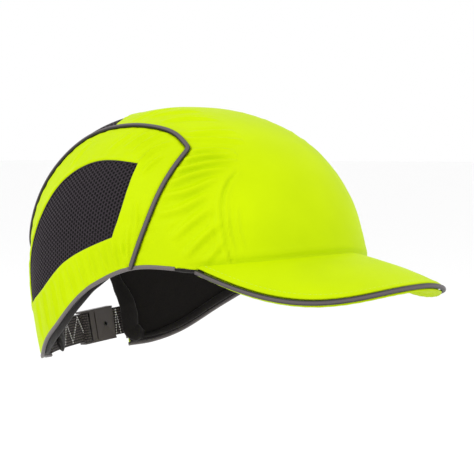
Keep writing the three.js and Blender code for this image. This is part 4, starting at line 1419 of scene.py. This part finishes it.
def strap():
    ribbed_band("webbing_near", -39, 4.6, WEBBING, ["anchor_strap"])
    ribbed_band("webbing_far", BUCKLE_X - 7.6, 39, WEBBING, ["adjusting_strap"])
    ribbed_band("webbing_tail", -24, 4.5, TAIL, ["strap_tail"], "strap_end", round_end=5)
    ribbed_band("end_tab_near", -39, -24, END_TAB, ["strap_tab_right"])
    ribbed_band("end_tab_far", 33, 39, END_TAB, ["strap_tab_left"])
    webbing_fold()

    face = 0.62                    # the stitches' height over the webbing's middle line
    corners = [(-19.0, -6.5), (-14.4, 6.2), (-10.6, -6.8), (-3.0, 7.6), (2.2, -7.2)]
    for i, (start, end) in enumerate(zip(corners, corners[1:])):
        strap_row(f"zigzag_{i + 1}", start, end, -face)
        strap_row(f"zigzag_back_{i + 1}", start, end, face)
    for i, (top, bottom) in enumerate(((26.6, 27.8), (26.4, 25.0))):
        strap_row(f"far_row_{i + 1}", (top, 7.2), (bottom, -7.2), -face, 20)
    strap_row("tail_row", (-19.5, -6.4), (-19.5, 6.4), 4.32, 20, "strap_end")


# ------------------------------------------------------------------ buckle

def eyelet_ring():
    """The dark rim of the round hole in the buckle's inner plate."""
    turn = np.linspace(0, 2 * math.pi, 49)[:-1]
    profile = [(1.35, -3.0), (1.25, -3.32), (0.95, -3.32), (0.8, -2.9), (0.8, -2.3), (1.35, -2.3)]
    rings = [on_buckle(EYELET_X + r * np.cos(turn), y, r * np.sin(turn)) for r, y in profile]
    points = np.vstack(rings)
    faces = np.array(grid_quads(len(rings) + 1, len(turn), 0, ring=True)) % len(points)
    obj = recalculated(make_object("eyelet_ring", world(points), faces.tolist(), points[:, :2]))
    finish_piece(obj, "shell_plastic")


def cad_copy(name, node, bevel):
    """A CAD node's shape with its facets cleaned up and its edges rounded."""
    mesh = frame["nodes"][node].data.copy()
    mesh.name = name
    obj = bpy.data.objects.new(name, mesh)
    bpy.context.scene.collection.objects.link(obj)
    bm = bmesh.new()
    bm.from_mesh(mesh)
    bmesh.ops.remove_doubles(bm, verts=bm.verts, dist=2e-6)
    bmesh.ops.dissolve_limit(bm, angle_limit=math.radians(2), verts=bm.verts, edges=bm.edges)
    bm.to_mesh(mesh)
    bm.free()
    mesh.polygons.foreach_set("use_smooth", [True] * len(mesh.polygons))
    modifier = obj.modifiers.new("edges", "BEVEL")
    modifier.width = bevel
    modifier.segments = 3
    modifier.limit_method = "ANGLE"
    modifier.angle_limit = math.radians(35)
    modifier.harden_normals = True
    return obj


def buckle():
    eyelet_ring()
    finish_piece(cad_copy("buckle_body", "buckle_frame", 0.00035), "buckle_plastic", ["buckle_frame"])
    lever = cad_copy("buckle_lever", "buckle_cam", 0.00045)
    finish_piece(lever, "buckle_plastic", ["buckle_cam"], "cam_lever")


# ------------------------------------------------------------------ stage

def toward(azimuth, elevation):
    """The direction from the cap to a light or the camera, from degrees round and up."""
    a, e = math.radians(azimuth), math.radians(elevation)
    return Vector((math.sin(a) * math.cos(e), -math.cos(a) * math.cos(e), math.sin(e)))


def aimed(name, data, location, back):
    """Puts a light or camera at a place, looking against the direction back."""
    obj = bpy.data.objects.new(name, data)
    obj.location = location
    obj.rotation_euler = back.to_track_quat("Z", "Y").to_euler()
    bpy.context.scene.collection.objects.link(obj)
    return obj


def studio_floor():
    below, half = 0.11, 30.0       # metres: under the cap's lowest point, and to each edge
    z = CAD_BOX[0].z - below
    corners = [(x * half, y * half, z) for x, y in ((-1, -1), (1, -1), (1, 1), (-1, 1))]
    floor = make_object("studio_floor", corners, [[0, 1, 2, 3]], smooth=False)
    n = Nodes("studio_floor")
    n.set(Base_Color=(0.97, 0.97, 0.97, 1), Roughness=0.9, Specular_IOR_Level=0.1)
    floor.data.materials.append(n.material)


def studio_light():
    background = bpy.data.worlds.new("studio")
    background.use_nodes = True
    sky = background.node_tree.nodes["Background"].inputs
    sky["Color"].default_value = (1, 1, 1, 1)
    sky["Strength"].default_value = 1.0
    bpy.context.scene.world = background


def softbox(name, azimuth, elevation, distance, size, watts):
    light = bpy.data.lights.new(name, "AREA")
    light.size = size
    light.energy = watts
    back = toward(azimuth, elevation)
    aimed(name, light, back * distance, back)


def camera():
    data = bpy.data.cameras.new("camera")
    data.lens = CAMERA_LENS
    data.sensor_width = 36
    data.clip_start, data.clip_end = 0.05, 100
    azimuth = math.radians(CAMERA_AZIMUTH)
    right = Vector((math.cos(azimuth), math.sin(azimuth), 0))
    back = toward(CAMERA_AZIMUTH, CAMERA_ELEVATION)
    place = right * CAMERA_SIDE + Vector((0, 0, CAMERA_RISE)) + back * CAMERA_DISTANCE
    bpy.context.scene.camera = aimed("camera", data, place, back)
    bpy.context.scene.view_settings.view_transform = "Standard"
    bpy.context.scene.view_settings.look = "None"


# ------------------------------------------------------------------ build

studio_floor()
studio_light()
softbox("key", -104, 36, 1.6, 0.35, 6.5)
softbox("fill", 2, 36, 1.8, 0.7, 5.5)
camera()
front_cover()
side_covers()
mesh_inserts()
rear_mesh()
side_piping()
edge_tapes()
corner_tucks()
arch_tape()
peak_top()
peak_stiffener()
peak_under()
peak_piping()
peak_thread()
shell_and_pads()
linings()
strap()
buckle()
